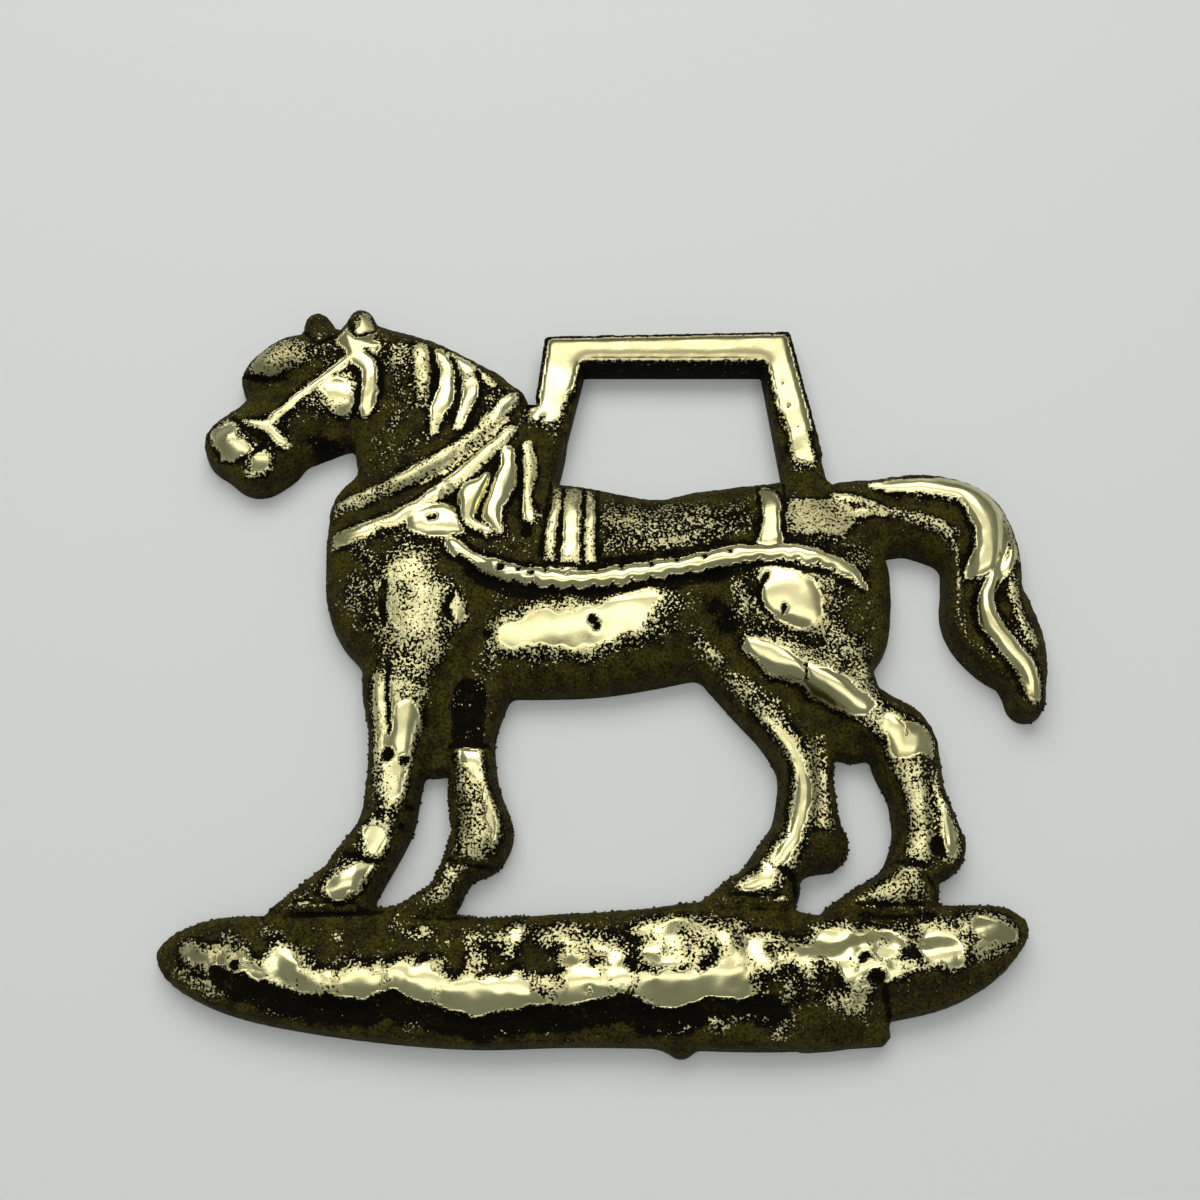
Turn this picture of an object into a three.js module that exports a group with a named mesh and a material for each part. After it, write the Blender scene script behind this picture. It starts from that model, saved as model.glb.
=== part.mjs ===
// Horse brass: a harness ornament sand-cast in one piece. A standing horse in full harness looks to
// the left, its hooves stand on a lens-shaped plinth, and a square hanger for the strap rises from
// its back. The back of the casting is flat.
// Millimetres. Drawn lying on its back: X runs from the muzzle to the tail, Y from the plinth to
// the hanger, and Z is the thickness, with the carved face up.
import * as THREE from 'three';

// ---- driving dimensions ----------------------------------------------------------------------
const EDGE = 2.3;            // height of the rounded shoulder all round the casting
const BLEND = 0.8;           // how far neighbouring masses run into each other in the outline
const FLOW = 0.7;            // and in the height of the face
const HANGER_HEIGHT = 4.0;   // thickness of the three bars of the hanger
const HANGER_BEVEL = 0.8;    // how far their front edges drop
const SHOULDER = 0.5;        // how far the top of the wall stands in from its foot
const WALL_TURN = 1.4;       // height where the wall starts to lean in
const WALL_LEAN = 0.12;      // how far it has leaned in at that height

// ---- masses of the casting: [x, y, half width, height of the crest] along each stroke ---------
const MASSES = {
  chest: [[-23.9, 8.5, 6.5, 4.6], [-22.5, 4, 7.9, 5.4], [-21.6, -0.5, 8.2, 5.6], [-20, -4, 6.8, 5.2]],
  barrel: [[-14, 0.5, 12, 5.4], [-6, 0.8, 12.3, 6], [-1, 0.5, 11.8, 6.1], [4, 0.4, 10.9, 6],
    [8, 0.8, 10.5, 5.9], [12, 1.3, 10.6, 5.7]],
  haunch: [[13, 1.6, 10.7, 5.7], [17, 1.9, 11, 5.8], [20.6, 2.1, 11.2, 5.9]],
  buttock: [[23.6, 0, 8.4, 5.4], [24.4, -3.4, 7.2, 5.3]],
  neck: [[-16, 10.2, 10.8, 5], [-19.4, 19, 8.8, 5], [-23.7, 25.4, 6.6, 5], [-26.8, 28, 5.3, 5]],
  crest: [[-25.2, 29.7, 2.9, 4.4], [-20.4, 28.9, 2.5, 4.4], [-17, 27.5, 2.2, 4.4], [-14.4, 26.2, 2, 4.4],
    [-12.6, 25.4, 1.9, 4.2]],
  withers: [[-11.5, 16, 7, 4.8], [-9.6, 17.4, 5.4, 4.4]],
  collar_top: [[-13, 22.5, 4.2, 4.8], [-10.6, 22.9, 2.5, 4.4]],
  cheek: [[-28.5, 25.2, 6.6, 4.8], [-31.2, 24, 6.5, 5.2], [-34.3, 22.2, 5.8, 5]],
  nose: [[-34.3, 22, 5.7, 5], [-37.6, 19.6, 4.9, 4.8], [-39.8, 18, 4.4, 4.6]],
  muzzle: [[-40.6, 18.4, 3.8, 4.6], [-41.6, 18, 3.5, 4.5]],
  chin: [[-37.6, 17, 4, 4.4], [-38.6, 15.8, 3.6, 4.3]],
  brow: [[-33, 28, 4.2, 5.1], [-35.6, 28.4, 3.3, 5.2], [-38.3, 26.9, 2.6, 5], [-39.3, 26, 2.3, 4.6]],
  far_ear: [[-32.4, 31, 2.2, 4.4], [-33, 33.1, 1.9, 4.2]],
  near_ear: [[-28.1, 31, 2.6, 4.9], [-27.9, 33.5, 1.8, 4.7]],
  near_fore: [[-20.3, -6, 5.4, 5.4], [-20.9, -10.5, 4.7, 5.1], [-21.2, -15, 3.5, 4.9],
    [-21.4, -19, 3.1, 4.7], [-21.7, -22, 2.9, 4.6], [-22.1, -25, 2.85, 4.6], [-23.3, -27.6, 2.9, 4.6],
    [-24.7, -29.8, 3.1, 4.7]],
  near_fore_hoof: [[-25.8, -31.7, 3.2, 4.8], [-29.4, -33.1, 2, 4.3], [-33, -34.3, 0.7, 3.4]],
  foreleg_web: [[-17.4, -15, 2.6, 2.9], [-17.3, -17.9, 2.3, 2.6]],
  far_fore: [[-13, -8, 4.5, 4.6], [-13.2, -12, 3.2, 4.2], [-13.6, -16, 2.5, 4], [-13.4, -19.5, 2.5, 4.4],
    [-13.1, -22.5, 2.8, 4.5], [-12.2, -26, 3.2, 4.4], [-12.6, -27.6, 3.1, 4.3]],
  far_fore_pastern: [[-13.4, -28, 2.4, 4.2], [-14.8, -30.3, 1.9, 3.9], [-15.8, -32.4, 1.7, 4.1]],
  far_fore_hoof: [[-16.2, -32.8, 1.8, 4.2], [-20.6, -34.3, 0.7, 3.4]],
  fore_lip: [[-31, -35.2, 1.1, 3.3], [-22, -35.1, 1.5, 3.5], [-13.5, -35.7, 1, 3.3]],
  far_hind: [[14.6, -7, 4.6, 4.8], [17.2, -11.5, 3.7, 4.7], [19.7, -15, 3.3, 4.8], [21.4, -18.4, 3.1, 4.8],
    [21.6, -21, 2.9, 4.7], [21.5, -24, 3.2, 4.6], [21, -26.6, 3.4, 4.6], [19.2, -28.4, 2.9, 4.6],
    [17.5, -30.2, 2.6, 4.5]],
  far_hind_feather: [[21.6, -26, 3.2, 4.2], [22.9, -27.4, 2.8, 3.4]],
  far_hind_hoof: [[17.8, -32, 2.7, 4.7], [14.8, -32, 2, 4.3], [11.5, -33.3, 0.9, 3.4]],
  near_hind: [[21.6, -5, 7.8, 5.6], [24.4, -8.8, 5, 5.5], [27.2, -13.1, 3.5, 5.2], [31.4, -16.1, 3.7, 5],
    [32.3, -19, 3.5, 4.8], [33, -22, 2.95, 4.7], [33.6, -25, 3.2, 4.7], [34.2, -27.6, 3.5, 4.5]],
  thigh_web: [[24.2, -13, 5, 3.6], [26.8, -16.1, 2.5, 3]],
  near_hind_pastern: [[33.5, -27.6, 3.2, 4.7], [32, -30, 2.7, 4.6], [31.5, -31.8, 3, 4.7]],
  near_hind_hoof: [[31.3, -32.3, 3, 4.7], [27.6, -33, 1.9, 4.3], [23.5, -34.2, 0.7, 3.4]],
  hind_lip: [[26.4, -35.6, 1, 3.3], [33.6, -35.2, 1.2, 3.3]],
  tail: [[28, 9.2, 4.3, 4.7], [31, 9.2, 4.5, 4.3], [34, 9.6, 4.6, 4.3], [37.2, 9.4, 4.8, 4.6],
    [40.6, 8, 4.7, 4.9], [42.1, 4, 4.4, 4.6], [42, 0, 4.4, 4.5], [42.4, -3, 5, 4.6], [43.7, -5.8, 4.4, 4.7],
    [45, -8.2, 3.1, 4.7], [45.4, -10.6, 2.3, 4.6], [45.5, -12.2, 2, 4.3]],
  tail_web: [[35.6, 7.6, 2.8, 3.4], [38.4, 5, 1.6, 3.2]],
  plinth: [[-43.5, -38.5, 1.1, 2.8], [-41.2, -38.8, 3, 3.6], [-38, -39.1, 4.4, 4.3],
    [-34, -39.7, 5.15, 4.6], [-28, -40.4, 5.6, 4.8], [-20, -40.9, 6.1, 4.9], [-12, -41.1, 6.4, 5],
    [-4, -40.8, 6.5, 5], [4, -40.6, 6.75, 5.1], [12, -40.3, 7.35, 5.1], [18, -40.7, 7, 5],
    [22, -41.4, 6.1, 4.8]],
  plinth_end: [[22, -40.1, 5.6, 4.8], [28, -39.5, 5.4, 4.8], [33, -38.7, 5.1, 4.7], [37, -37.6, 4.2, 4.5],
    [40, -36.4, 2.9, 4.1], [41.7, -35.9, 1.6, 3.4]],
  plinth_drip: [[7, -45.5, 2, 3.2], [8, -47, 1.4, 2.8]],
};

// ---- harness, hair and muscle that stand above the masses: [x, y, half width, rise] ------------
const RAISED = {
  cheek_strap: [[-28.3, 27.8, 0.75, 0.5], [-31.9, 24.3, 0.65, 0.5], [-35.2, 21.3, 0.7, 0.55],
    [-37.4, 19.1, 0.6, 0.4]],
  noseband: [[-40, 19.5, 0.6, 0.45], [-37.3, 18.8, 0.75, 0.5], [-35.1, 16.8, 0.6, 0.4]],
  throat_lash: [[-28.8, 29.8, 1, 0.5], [-27.7, 28.1, 1, 0.6], [-26.2, 26.2, 1, 0.6],
    [-25.9, 23.8, 0.9, 0.55], [-26.2, 22.2, 0.85, 0.45], [-26.6, 20.9, 0.6, 0.3]],
  poll: [[-25.9, 29.1, 0.7, 0.45], [-28.7, 29.7, 1.2, 0.55], [-30.6, 32.5, 0.8, 0.4]],
  collar_upper: [[-29.1, 9.2, 0.8, 0.7], [-24.6, 11, 0.85, 0.8], [-17.7, 14.7, 0.85, 0.8],
    [-13.7, 17.7, 0.85, 0.8], [-12.2, 19.7, 0.85, 0.75], [-10.6, 21.9, 0.7, 0.6], [-9.7, 23.1, 0.6, 0.4]],
  collar_lower: [[-29.2, 5.1, 0.75, 0.6], [-24.4, 6.8, 0.8, 0.75], [-20.5, 8.8, 0.8, 0.75],
    [-15.6, 12.5, 0.8, 0.75], [-11.7, 16.5, 0.75, 0.7], [-9.8, 18.8, 0.6, 0.5]],
  mane_1: [[-20.6, 28.7, 0.9, 0.7], [-19.9, 25.3, 1, 0.7], [-20.2, 21.5, 0.6, 0.4]],
  mane_2: [[-18.5, 28.1, 0.95, 0.75], [-17.3, 25.6, 1.05, 0.75], [-17.4, 22.8, 1, 0.7],
    [-18.2, 20.8, 0.8, 0.6], [-18.6, 18.4, 0.5, 0.3]],
  mane_3: [[-16.2, 27.2, 0.9, 0.7], [-14.9, 25.5, 1, 0.7], [-14.7, 22.9, 0.9, 0.65],
    [-15.3, 21, 0.75, 0.55], [-15.9, 18.8, 0.5, 0.3]],
  tassel_1: [[-12.3, 13.4, 0.6, 0.5], [-14.3, 10.3, 1.5, 0.8], [-14.7, 8, 1, 0.7], [-12.1, 5.9, 0.5, 0.4]],
  tassel_2: [[-10.2, 16.7, 0.9, 0.5], [-10.3, 13.5, 1.1, 0.8], [-11.2, 10.6, 1.1, 0.8],
    [-11.9, 8.2, 0.8, 0.7], [-10.9, 5.7, 0.4, 0.4]],
  tassel_3: [[-8.1, 16.9, 0.5, 0.4], [-7.7, 13.9, 0.65, 0.6], [-8.1, 10.9, 0.6, 0.55],
    [-7.8, 7.7, 0.5, 0.35]],
  hook: [[-20, 6.8, 0.6, 0.5], [-18, 7.2, 1.6, 0.85], [-16.9, 6.8, 1.85, 0.9], [-16.2, 5.7, 1, 0.8]],
  trace: [[-16, 5, 0.8, 0.8], [-14, 3.3, 1, 0.85], [-11.7, 1.5, 1.2, 0.9], [-9.2, 0.5, 1.25, 0.9],
    [-5.8, 0.2, 1.2, 0.9], [-1.9, 0.1, 1.2, 0.9], [5.8, 1, 1.2, 0.9], [13.6, 2.7, 1.2, 0.9],
    [17, 3, 1.05, 0.8], [20.4, 3.1, 1, 0.8], [24.3, 2.6, 0.95, 0.75], [26.3, 1.9, 0.85, 0.65],
    [29.1, 0, 0.5, 0.4]],
  girth: [[-4.7, 11.4, 0.55, 0.4], [-5.5, 2.1, 0.55, 0.4]],
  pad: [[-2.9, 11.3, 0.95, 0.5], [-3.3, 2, 1, 0.5]],
  loin_strap: [[18.8, 11.7, 1.1, 0.5], [18.6, 4.4, 1.2, 0.5]],
  thigh_upper: [[16.2, -6.9, 1.1, 0.5], [19, -8.8, 1.5, 0.8], [21.3, -10.1, 0.9, 0.5]],
  thigh_lower: [[21.7, -9.9, 1, 0.5], [24.4, -11.8, 1.6, 0.9], [27.4, -13.7, 1, 0.5]],
  far_hind_shin: [[17.2, -15.1, 0.7, 0.4], [19.7, -18.6, 0.85, 0.55], [20.4, -22.5, 0.8, 0.5],
    [19.7, -26.5, 0.75, 0.45], [18.1, -29.7, 0.55, 0.3]],
  far_fore_knee: [[-13.8, -18.4, 1.2, 0.4], [-12, -19.5, 1.1, 0.55], [-10.7, -24.4, 0.6, 0.4],
    [-10.5, -27.9, 0.55, 0.3]],
  near_fore_knee: [[-20.2, -14, 1.2, 0.4], [-20, -16.1, 1.3, 0.5], [-20.4, -18, 1, 0.4]],
  near_hind_hock: [[30.6, -16, 1, 0.4], [31, -18.1, 1, 0.4], [33.4, -17.1, 0.9, 0.4]],
  near_hind_tendon: [[35.4, -23.2, 0.6, 0.35], [35.5, -25.7, 0.7, 0.4], [35.3, -27.8, 0.6, 0.3]],
  tail_top: [[30.5, 11.2, 0.8, 0.5], [33.5, 11.3, 1.1, 0.7], [36.4, 11.3, 1.3, 0.8],
    [39.3, 10.4, 1.5, 0.85], [41.3, 8.2, 1.7, 0.85], [42, 5.4, 1.7, 0.8], [41.6, 2.9, 1.2, 0.7],
    [39.9, 1.6, 0.6, 0.4]],
  tail_inner: [[30.5, 9.3, 0.5, 0.4], [34.4, 7.9, 0.7, 0.55], [37.4, 6.6, 0.7, 0.6], [38.4, 4.3, 0.7, 0.6],
    [38.2, -0, 0.7, 0.55], [37.8, -3.4, 0.65, 0.5], [39.1, -6, 0.6, 0.5], [42.3, -9, 0.5, 0.3]],
  tail_lower: [[44.1, 3, 0.55, 0.4], [42, 0.2, 0.9, 0.7], [40.8, -2.3, 1.1, 0.8], [41.4, -5, 1.15, 0.85],
    [43.1, -7.5, 1.15, 0.85], [44.6, -9.9, 1, 0.8], [45, -12.8, 0.7, 0.5]],
  tail_rim: [[45.5, 4.3, 0.55, 0.4], [44.5, 0.7, 0.55, 0.45], [45.1, -4.1, 0.6, 0.5],
    [45.9, -6.2, 0.5, 0.4]],
};

// ---- soft swellings, and soft hollows where the rise is negative ------------------------------
const SWELLS = {
  shoulder: [[-20.1, 1.1, 4, 0.6], [-19.8, -2.3, 4.6, 0.8], [-19.4, -5.1, 3.4, 0.4]],
  ribs: [[-9.8, -5.1, 3.6, 0.3], [-3.4, -3.9, 4.6, 0.4], [3.4, -1.8, 3.6, 0.3]],
  croup: [[19.7, -1.2, 4.8, 0.6], [21, -2.2, 4.6, 0.6]],
  jaw: [[-29.6, 23.2, 3.2, 0.6], [-29, 22.7, 3.2, 0.6]],
  forelock: [[-37.5, 27, 2.9, 0.7], [-35.7, 28.2, 2.9, 0.7]],
  nose_tip: [[-41.5, 17.2, 2.2, 0.6], [-40.4, 16.5, 2, 0.4]],
  lip: [[-38, 15.5, 1.9, 0.4], [-37.7, 15.3, 1.9, 0.4]],
  flank_knot: [[11.7, -8.2, 1.6, 0.5], [10.5, -9.8, 1.3, 0.4]],
  fore_feather: [[-13, -23.1, 1.8, 0.2], [-12.2, -26.6, 2.4, 0.4]],
  near_hoof: [[-25.1, -31.8, 2.2, 0.4], [-26.9, -32.5, 1.8, 0.3]],
  hind_hoof: [[30.4, -31.7, 2.4, 0.4], [28.9, -32.5, 2, 0.3]],
  far_hoof: [[16.1, -31.2, 2, 0.4], [14.6, -32.1, 1.6, 0.2]],
  saddle_cloth: [[2, 6.8, 4.6, 0.35], [13.9, 7.5, 4.6, 0.35]],
  brow_hollow: [[-40.7, 25.3, 1.4, -0.5], [-36.5, 24.7, 1.7, -0.7], [-33.8, 25.8, 1.7, -0.6]],
  nose_hollow: [[-38.1, 22.9, 2, -0.5], [-37, 22.4, 2, -0.5]],
  throat_hollow: [[-24.7, 28.1, 1.2, -0.5], [-24.1, 24.9, 1.6, -0.6], [-24.7, 20.5, 1.8, -0.6]],
  jaw_hollow: [[-33.1, 17.9, 1.6, -0.6], [-29.9, 19.5, 1.6, -0.6], [-27.7, 20.3, 1.4, -0.6]],
  collar_channel: [[-30, 8.1, 1.4, -0.5], [-19.7, 12.1, 1.5, -0.6], [-12.4, 18.1, 1.3, -0.5]],
  tassel_gap: [[-13, 12.6, 0.9, -0.6], [-12.8, 9.6, 0.9, -0.8], [-13.4, 7.3, 0.8, -0.5]],
  tassel_pocket: [[-9.5, 15.8, 0.9, -0.5], [-9.5, 11.4, 1.1, -0.7], [-9, 6.9, 1.7, -0.9]],
  hook_pocket: [[-16.8, 10.9, 1.2, -0.7], [-15.9, 9.5, 1, -0.6]],
  trace_shadow: [[-14.7, 1.4, 1.1, -0.5], [-8.8, -1.7, 1.1, -0.5], [-1.9, -2, 1.1, -0.5],
    [6.8, -1.1, 1.1, -0.5], [14.7, 0.6, 1.1, -0.4]],
  elbow_hollow: [[-13, 2.1, 2, -0.5], [-13.2, -2.7, 2.2, -0.9], [-14.5, -7.4, 2.2, -0.9],
    [-16.6, -11, 2, -0.8]],
  flank_hollow: [[12.8, 0.6, 1.8, -0.5], [12.4, -2.4, 2.4, -1], [13.2, -5.5, 2.2, -1], [15, -9, 1.6, -0.6]],
  croup_hollow: [[16.6, 0.5, 1, -0.4], [16.3, -1.9, 1.1, -0.5], [17.3, -4, 1.2, -0.5]],
  stifle_hollow: [[19, -4.9, 1.8, -0.6], [22.9, -6.7, 1.8, -0.6], [26.9, -9.5, 1.6, -0.5]],
  thigh_hollow: [[16.8, -9.9, 1.6, -0.7], [20.9, -12, 1.8, -0.9], [24.8, -14.5, 1.8, -0.8]],
  arm_hollow: [[-13.4, -11.3, 2.6, -0.5], [-13.7, -14.5, 2.4, -1.1], [-13.8, -16.7, 1.6, -0.5]],
  hock_hollow: [[22.4, -16.8, 1, -0.4], [22.7, -21, 1.1, -0.5], [22.3, -25.3, 1.2, -0.4]],
  tendon_hollow: [[34, -20.4, 1, -0.4], [33.9, -24.4, 1.1, -0.5], [34.1, -28.5, 1.4, -0.6]],
  tail_trough: [[32.1, 10.1, 0.9, -0.4], [37.1, 9.4, 1, -0.6], [39.9, 7.5, 1.1, -0.7], [40, 4.4, 1.1, -0.6],
    [39.7, -1, 1.1, -0.6], [40, -5.1, 1, -0.5]],
  tail_parting: [[44.1, 7.8, 0.8, -0.4], [43.9, 4.6, 0.9, -0.6], [43.1, -0.8, 1, -0.6],
    [43.9, -4.3, 0.9, -0.5]],
  ridge: [[-40.5, -38.4, 2, 0.2], [-35.3, -39.2, 2.8, 0.6], [-32, -39.1, 3, 0.5], [-26.4, -40.9, 3.2, 0.8],
    [-20, -40.2, 3, 0.7], [-13.7, -41.9, 3.2, 0.8], [-8.8, -42.2, 3, 0.8], [-2.9, -41.4, 3, 0.7],
    [2.9, -41.3, 3, 0.8], [9.8, -40.3, 3.4, 0.8], [14.7, -39.9, 3.4, 0.7], [17.6, -41.2, 3, 0.8],
    [22.1, -39.5, 2.8, 0.6], [26.4, -40.1, 3.2, 0.8], [32.3, -39.7, 3, 0.8], [36.9, -37.5, 2.4, 0.5],
    [40.5, -36.2, 1.4, 0.2]],
  bank_1: [[-29.6, -37.6, 1.8, -0.4], [-25.2, -38.2, 1.6, -0.3]],
  bank_2: [[-21.3, -37.4, 1.8, -0.5], [-14.8, -37.8, 1.6, -0.4]],
  bank_3: [[-6.9, -38.4, 2, -0.4], [0, -37.8, 1.8, -0.4]],
  bank_4: [[19.4, -36.8, 1.8, -0.5], [23.1, -37.6, 1.8, -0.5]],
  bank_5: [[32.2, -37, 1.6, -0.4], [34.9, -37, 1.6, -0.3]],
  lump_1: [[-34.3, -37.9, 2, 0.3], [-33, -37.3, 1.6, 0.3]],
  lump_2: [[7.8, -37.5, 2.4, 0.5], [12.2, -36.7, 2.4, 0.5]],
  lump_3: [[26.1, -37.7, 2, 0.6], [29, -37.7, 2, 0.5]],
  lump_4: [[37.7, -36.3, 1.8, 0.3], [39.2, -35.9, 1.5, 0.3]],
  foot_1: [[-25.7, -44.1, 1.8, -0.4], [-20.8, -45.1, 2, -0.4]],
  foot_2: [[-5.9, -45.3, 1.8, -0.4], [0, -45.3, 1.8, -0.3]],
  foot_3: [[13.9, -45.3, 1.8, -0.4], [19.8, -45.1, 2, -0.4]],
};

// ---- the strap hanger: a slanted square frame, its underside open where the horse's back is ----
const HANGER_OUTER = [[-7.9, 19], [-6.4, 31.4], [22.1, 32.05], [25.9, 12], [-5, 10]];
const HANGER_INNER = [[-6.2, 8], [-1.85, 27.6], [18.85, 27.6], [21.4, 8]];
const PLINTH_HEEL = [[20, -41], [28.6, -42], [28.7, -46.5], [27.9, -47.2], [20, -47.7]];

// ---- meshing -----------------------------------------------------------------------------------
const GRID = 0.5;            // spacing of the first samples of the outline
const OUTLINE_SLACK = 0.05;  // largest error of an outline edge
const LONGEST_EDGE = 1.7;    // longest edge of the outline
const FACE_SPACING = 1.25;   // spacing of the vertices in the plain parts of the face
const CARVED_SPACING = 0.6;  // closest that vertices on carved lines come to each other

// ---- small functions ----------------------------------------------------------------------------
const clamp = (v, low, high) => Math.min(high, Math.max(low, v));

function smoothMin(a, b, k) {
  const h = clamp(0.5 + (0.5 * (b - a)) / k, 0, 1);
  return b + (a - b) * h - k * h * (1 - h);
}

const smoothMax = (a, b, k) => -smoothMin(-a, -b, k);

/** A Catmull-Rom curve through stations of any number of columns. */
function curveThrough(stations, steps) {
  const first = stations[0];
  const last = stations[stations.length - 1];
  const before = first.map((v, i) => 2 * v - stations[1][i]);
  const after = last.map((v, i) => 2 * v - stations[stations.length - 2][i]);
  const all = [before, ...stations, after];
  const points = [];
  for (let s = 1; s < all.length - 2; s += 1) {
    const [a, b, c, d] = all.slice(s - 1, s + 3);
    for (let k = 0; k < steps; k += 1) {
      const t = k / steps;
      points.push(b.map((v, i) => 0.5 * (2 * v + (c[i] - a[i]) * t
        + (2 * a[i] - 5 * v + 4 * c[i] - d[i]) * t * t
        + (3 * v - a[i] - 3 * c[i] + d[i]) * t * t * t)));
    }
  }
  points.push(last);
  return points;
}

/** A brush stroke whose half width and height vary along it. */
class Stroke {
  constructor(stations, steps = 5) {
    this.points = curveThrough(stations, steps);
    this.reach = Math.max(...this.points.map((p) => p[2]));
    this.low = [0, 1].map((i) => Math.min(...this.points.map((p) => p[i])));
    this.high = [0, 1].map((i) => Math.max(...this.points.map((p) => p[i])));
  }

  /** Distance outside the stroke, position across it (1 at its edge) and height at the nearest point. */
  at(x, y, margin) {
    const m = this.reach + margin;
    if (x < this.low[0] - m || x > this.high[0] + m || y < this.low[1] - m || y > this.high[1] + m) {
      return null;
    }
    const best = { outside: Infinity, across: Infinity, height: 0 };
    for (let i = 0; i + 1 < this.points.length; i += 1) {
      const [ax, ay, ar, ah] = this.points[i];
      const [bx, by, br, bh] = this.points[i + 1];
      const dx = bx - ax;
      const dy = by - ay;
      const t = clamp(((x - ax) * dx + (y - ay) * dy) / (dx * dx + dy * dy + 1e-12), 0, 1);
      const distance = Math.hypot(x - ax - t * dx, y - ay - t * dy);
      const r = ar + (br - ar) * t;
      if (distance - r < best.outside) {
        best.outside = distance - r;
        best.across = distance / r;
        best.height = ah + (bh - ah) * t;
      }
    }
    return best;
  }
}

/** Signed distance to a closed polygon, negative inside. */
function polygonDistance(x, y, corners) {
  let nearest = Infinity;
  let inside = false;
  corners.forEach(([ax, ay], i) => {
    const [bx, by] = corners[(i + 1) % corners.length];
    const dx = bx - ax;
    const dy = by - ay;
    const t = clamp(((x - ax) * dx + (y - ay) * dy) / (dx * dx + dy * dy), 0, 1);
    nearest = Math.min(nearest, Math.hypot(x - ax - t * dx, y - ay - t * dy));
    if ((ay > y) !== (by > y) && x < (dx * (y - ay)) / dy + ax) inside = !inside;
  });
  return inside ? -nearest : nearest;
}

// ---- the casting as two functions of x and y ----------------------------------------------------
const strokesOf = (table, steps) => Object.values(table).map((stations) => new Stroke(stations, steps));
const massStrokes = strokesOf(MASSES, 5);
const raisedStrokes = strokesOf(RAISED, 4);
const swellStrokes = strokesOf(SWELLS, 4);

const hangerDistance = (x, y) => Math.max(
  polygonDistance(x, y, HANGER_OUTER),
  -polygonDistance(x, y, HANGER_INNER),
);

/** Distance outside the casting's outline, negative inside. */
function outline(x, y) {
  let distance = 1e3;
  massStrokes.forEach((stroke) => {
    const hit = stroke.at(x, y, 6);
    if (hit) distance = smoothMin(distance, hit.outside, BLEND);
  });
  distance = smoothMin(distance, polygonDistance(x, y, PLINTH_HEEL), 0.6);
  return smoothMin(distance, hangerDistance(x, y), 0.9);
}

const roundedTop = (across) => (1 - clamp(across, 0, 1) ** 2.3) ** 0.6;

/** Height of the plain masses. */
function bodyHeight(x, y) {
  let height = -5;
  massStrokes.forEach((stroke) => {
    const hit = stroke.at(x, y, 4);
    if (!hit) return;
    const inside = EDGE + (hit.height - EDGE) * roundedTop(hit.across);
    height = smoothMax(height, hit.across < 1 ? inside : EDGE - 1.2 * hit.outside, FLOW);
  });
  const heel = polygonDistance(x, y, PLINTH_HEEL);
  height = smoothMax(height, heel < 0 ? EDGE + 1.4 * (1 - Math.exp(heel / 1.2)) : EDGE - 2 * heel, 0.5);
  const bar = hangerDistance(x, y);
  const barTop = HANGER_HEIGHT - HANGER_BEVEL * Math.exp(Math.min(bar, 0) / 0.35);
  height = smoothMax(height, barTop - 1.5 * Math.max(bar, 0), 0.5);
  return Math.max(height, 0.75 * EDGE);
}

/** Height of the face with its carving. */
function faceHeight(x, y) {
  let rise = 0;
  raisedStrokes.forEach((stroke) => {
    const hit = stroke.at(x, y, 0);
    if (hit && hit.across < 1) rise = Math.max(rise, hit.height * (1 - hit.across ** 3) ** 0.6);
  });
  let swell = 0;
  swellStrokes.forEach((stroke) => {
    const hit = stroke.at(x, y, 0);
    if (hit && hit.across < 1) swell += hit.height * (1 - hit.across ** 2) ** 2;
  });
  const shore = clamp(-outline(x, y) / 1.2, 0, 1);
  return Math.max(bodyHeight(x, y) + shore * (rise + swell), 0.7 * EDGE);
}

// ---- outline loops --------------------------------------------------------------------------------
/** Slope of the outline distance. */
function outlineSlope(x, y) {
  const step = 0.02;
  const gx = (outline(x + step, y) - outline(x - step, y)) / (2 * step);
  const gy = (outline(x, y + step) - outline(x, y - step)) / (2 * step);
  return [gx, gy];
}

/** Moves a point along the slope until the outline distance is the one wanted. */
function slideTo(point, wanted) {
  let [x, y] = point;
  for (let i = 0; i < 3; i += 1) {
    const [gx, gy] = outlineSlope(x, y);
    const size = Math.max(gx * gx + gy * gy, 0.25);
    const miss = clamp(outline(x, y) - wanted, -0.4, 0.4);
    x -= (miss * gx) / size;
    y -= (miss * gy) / size;
  }
  return [x, y];
}

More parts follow.
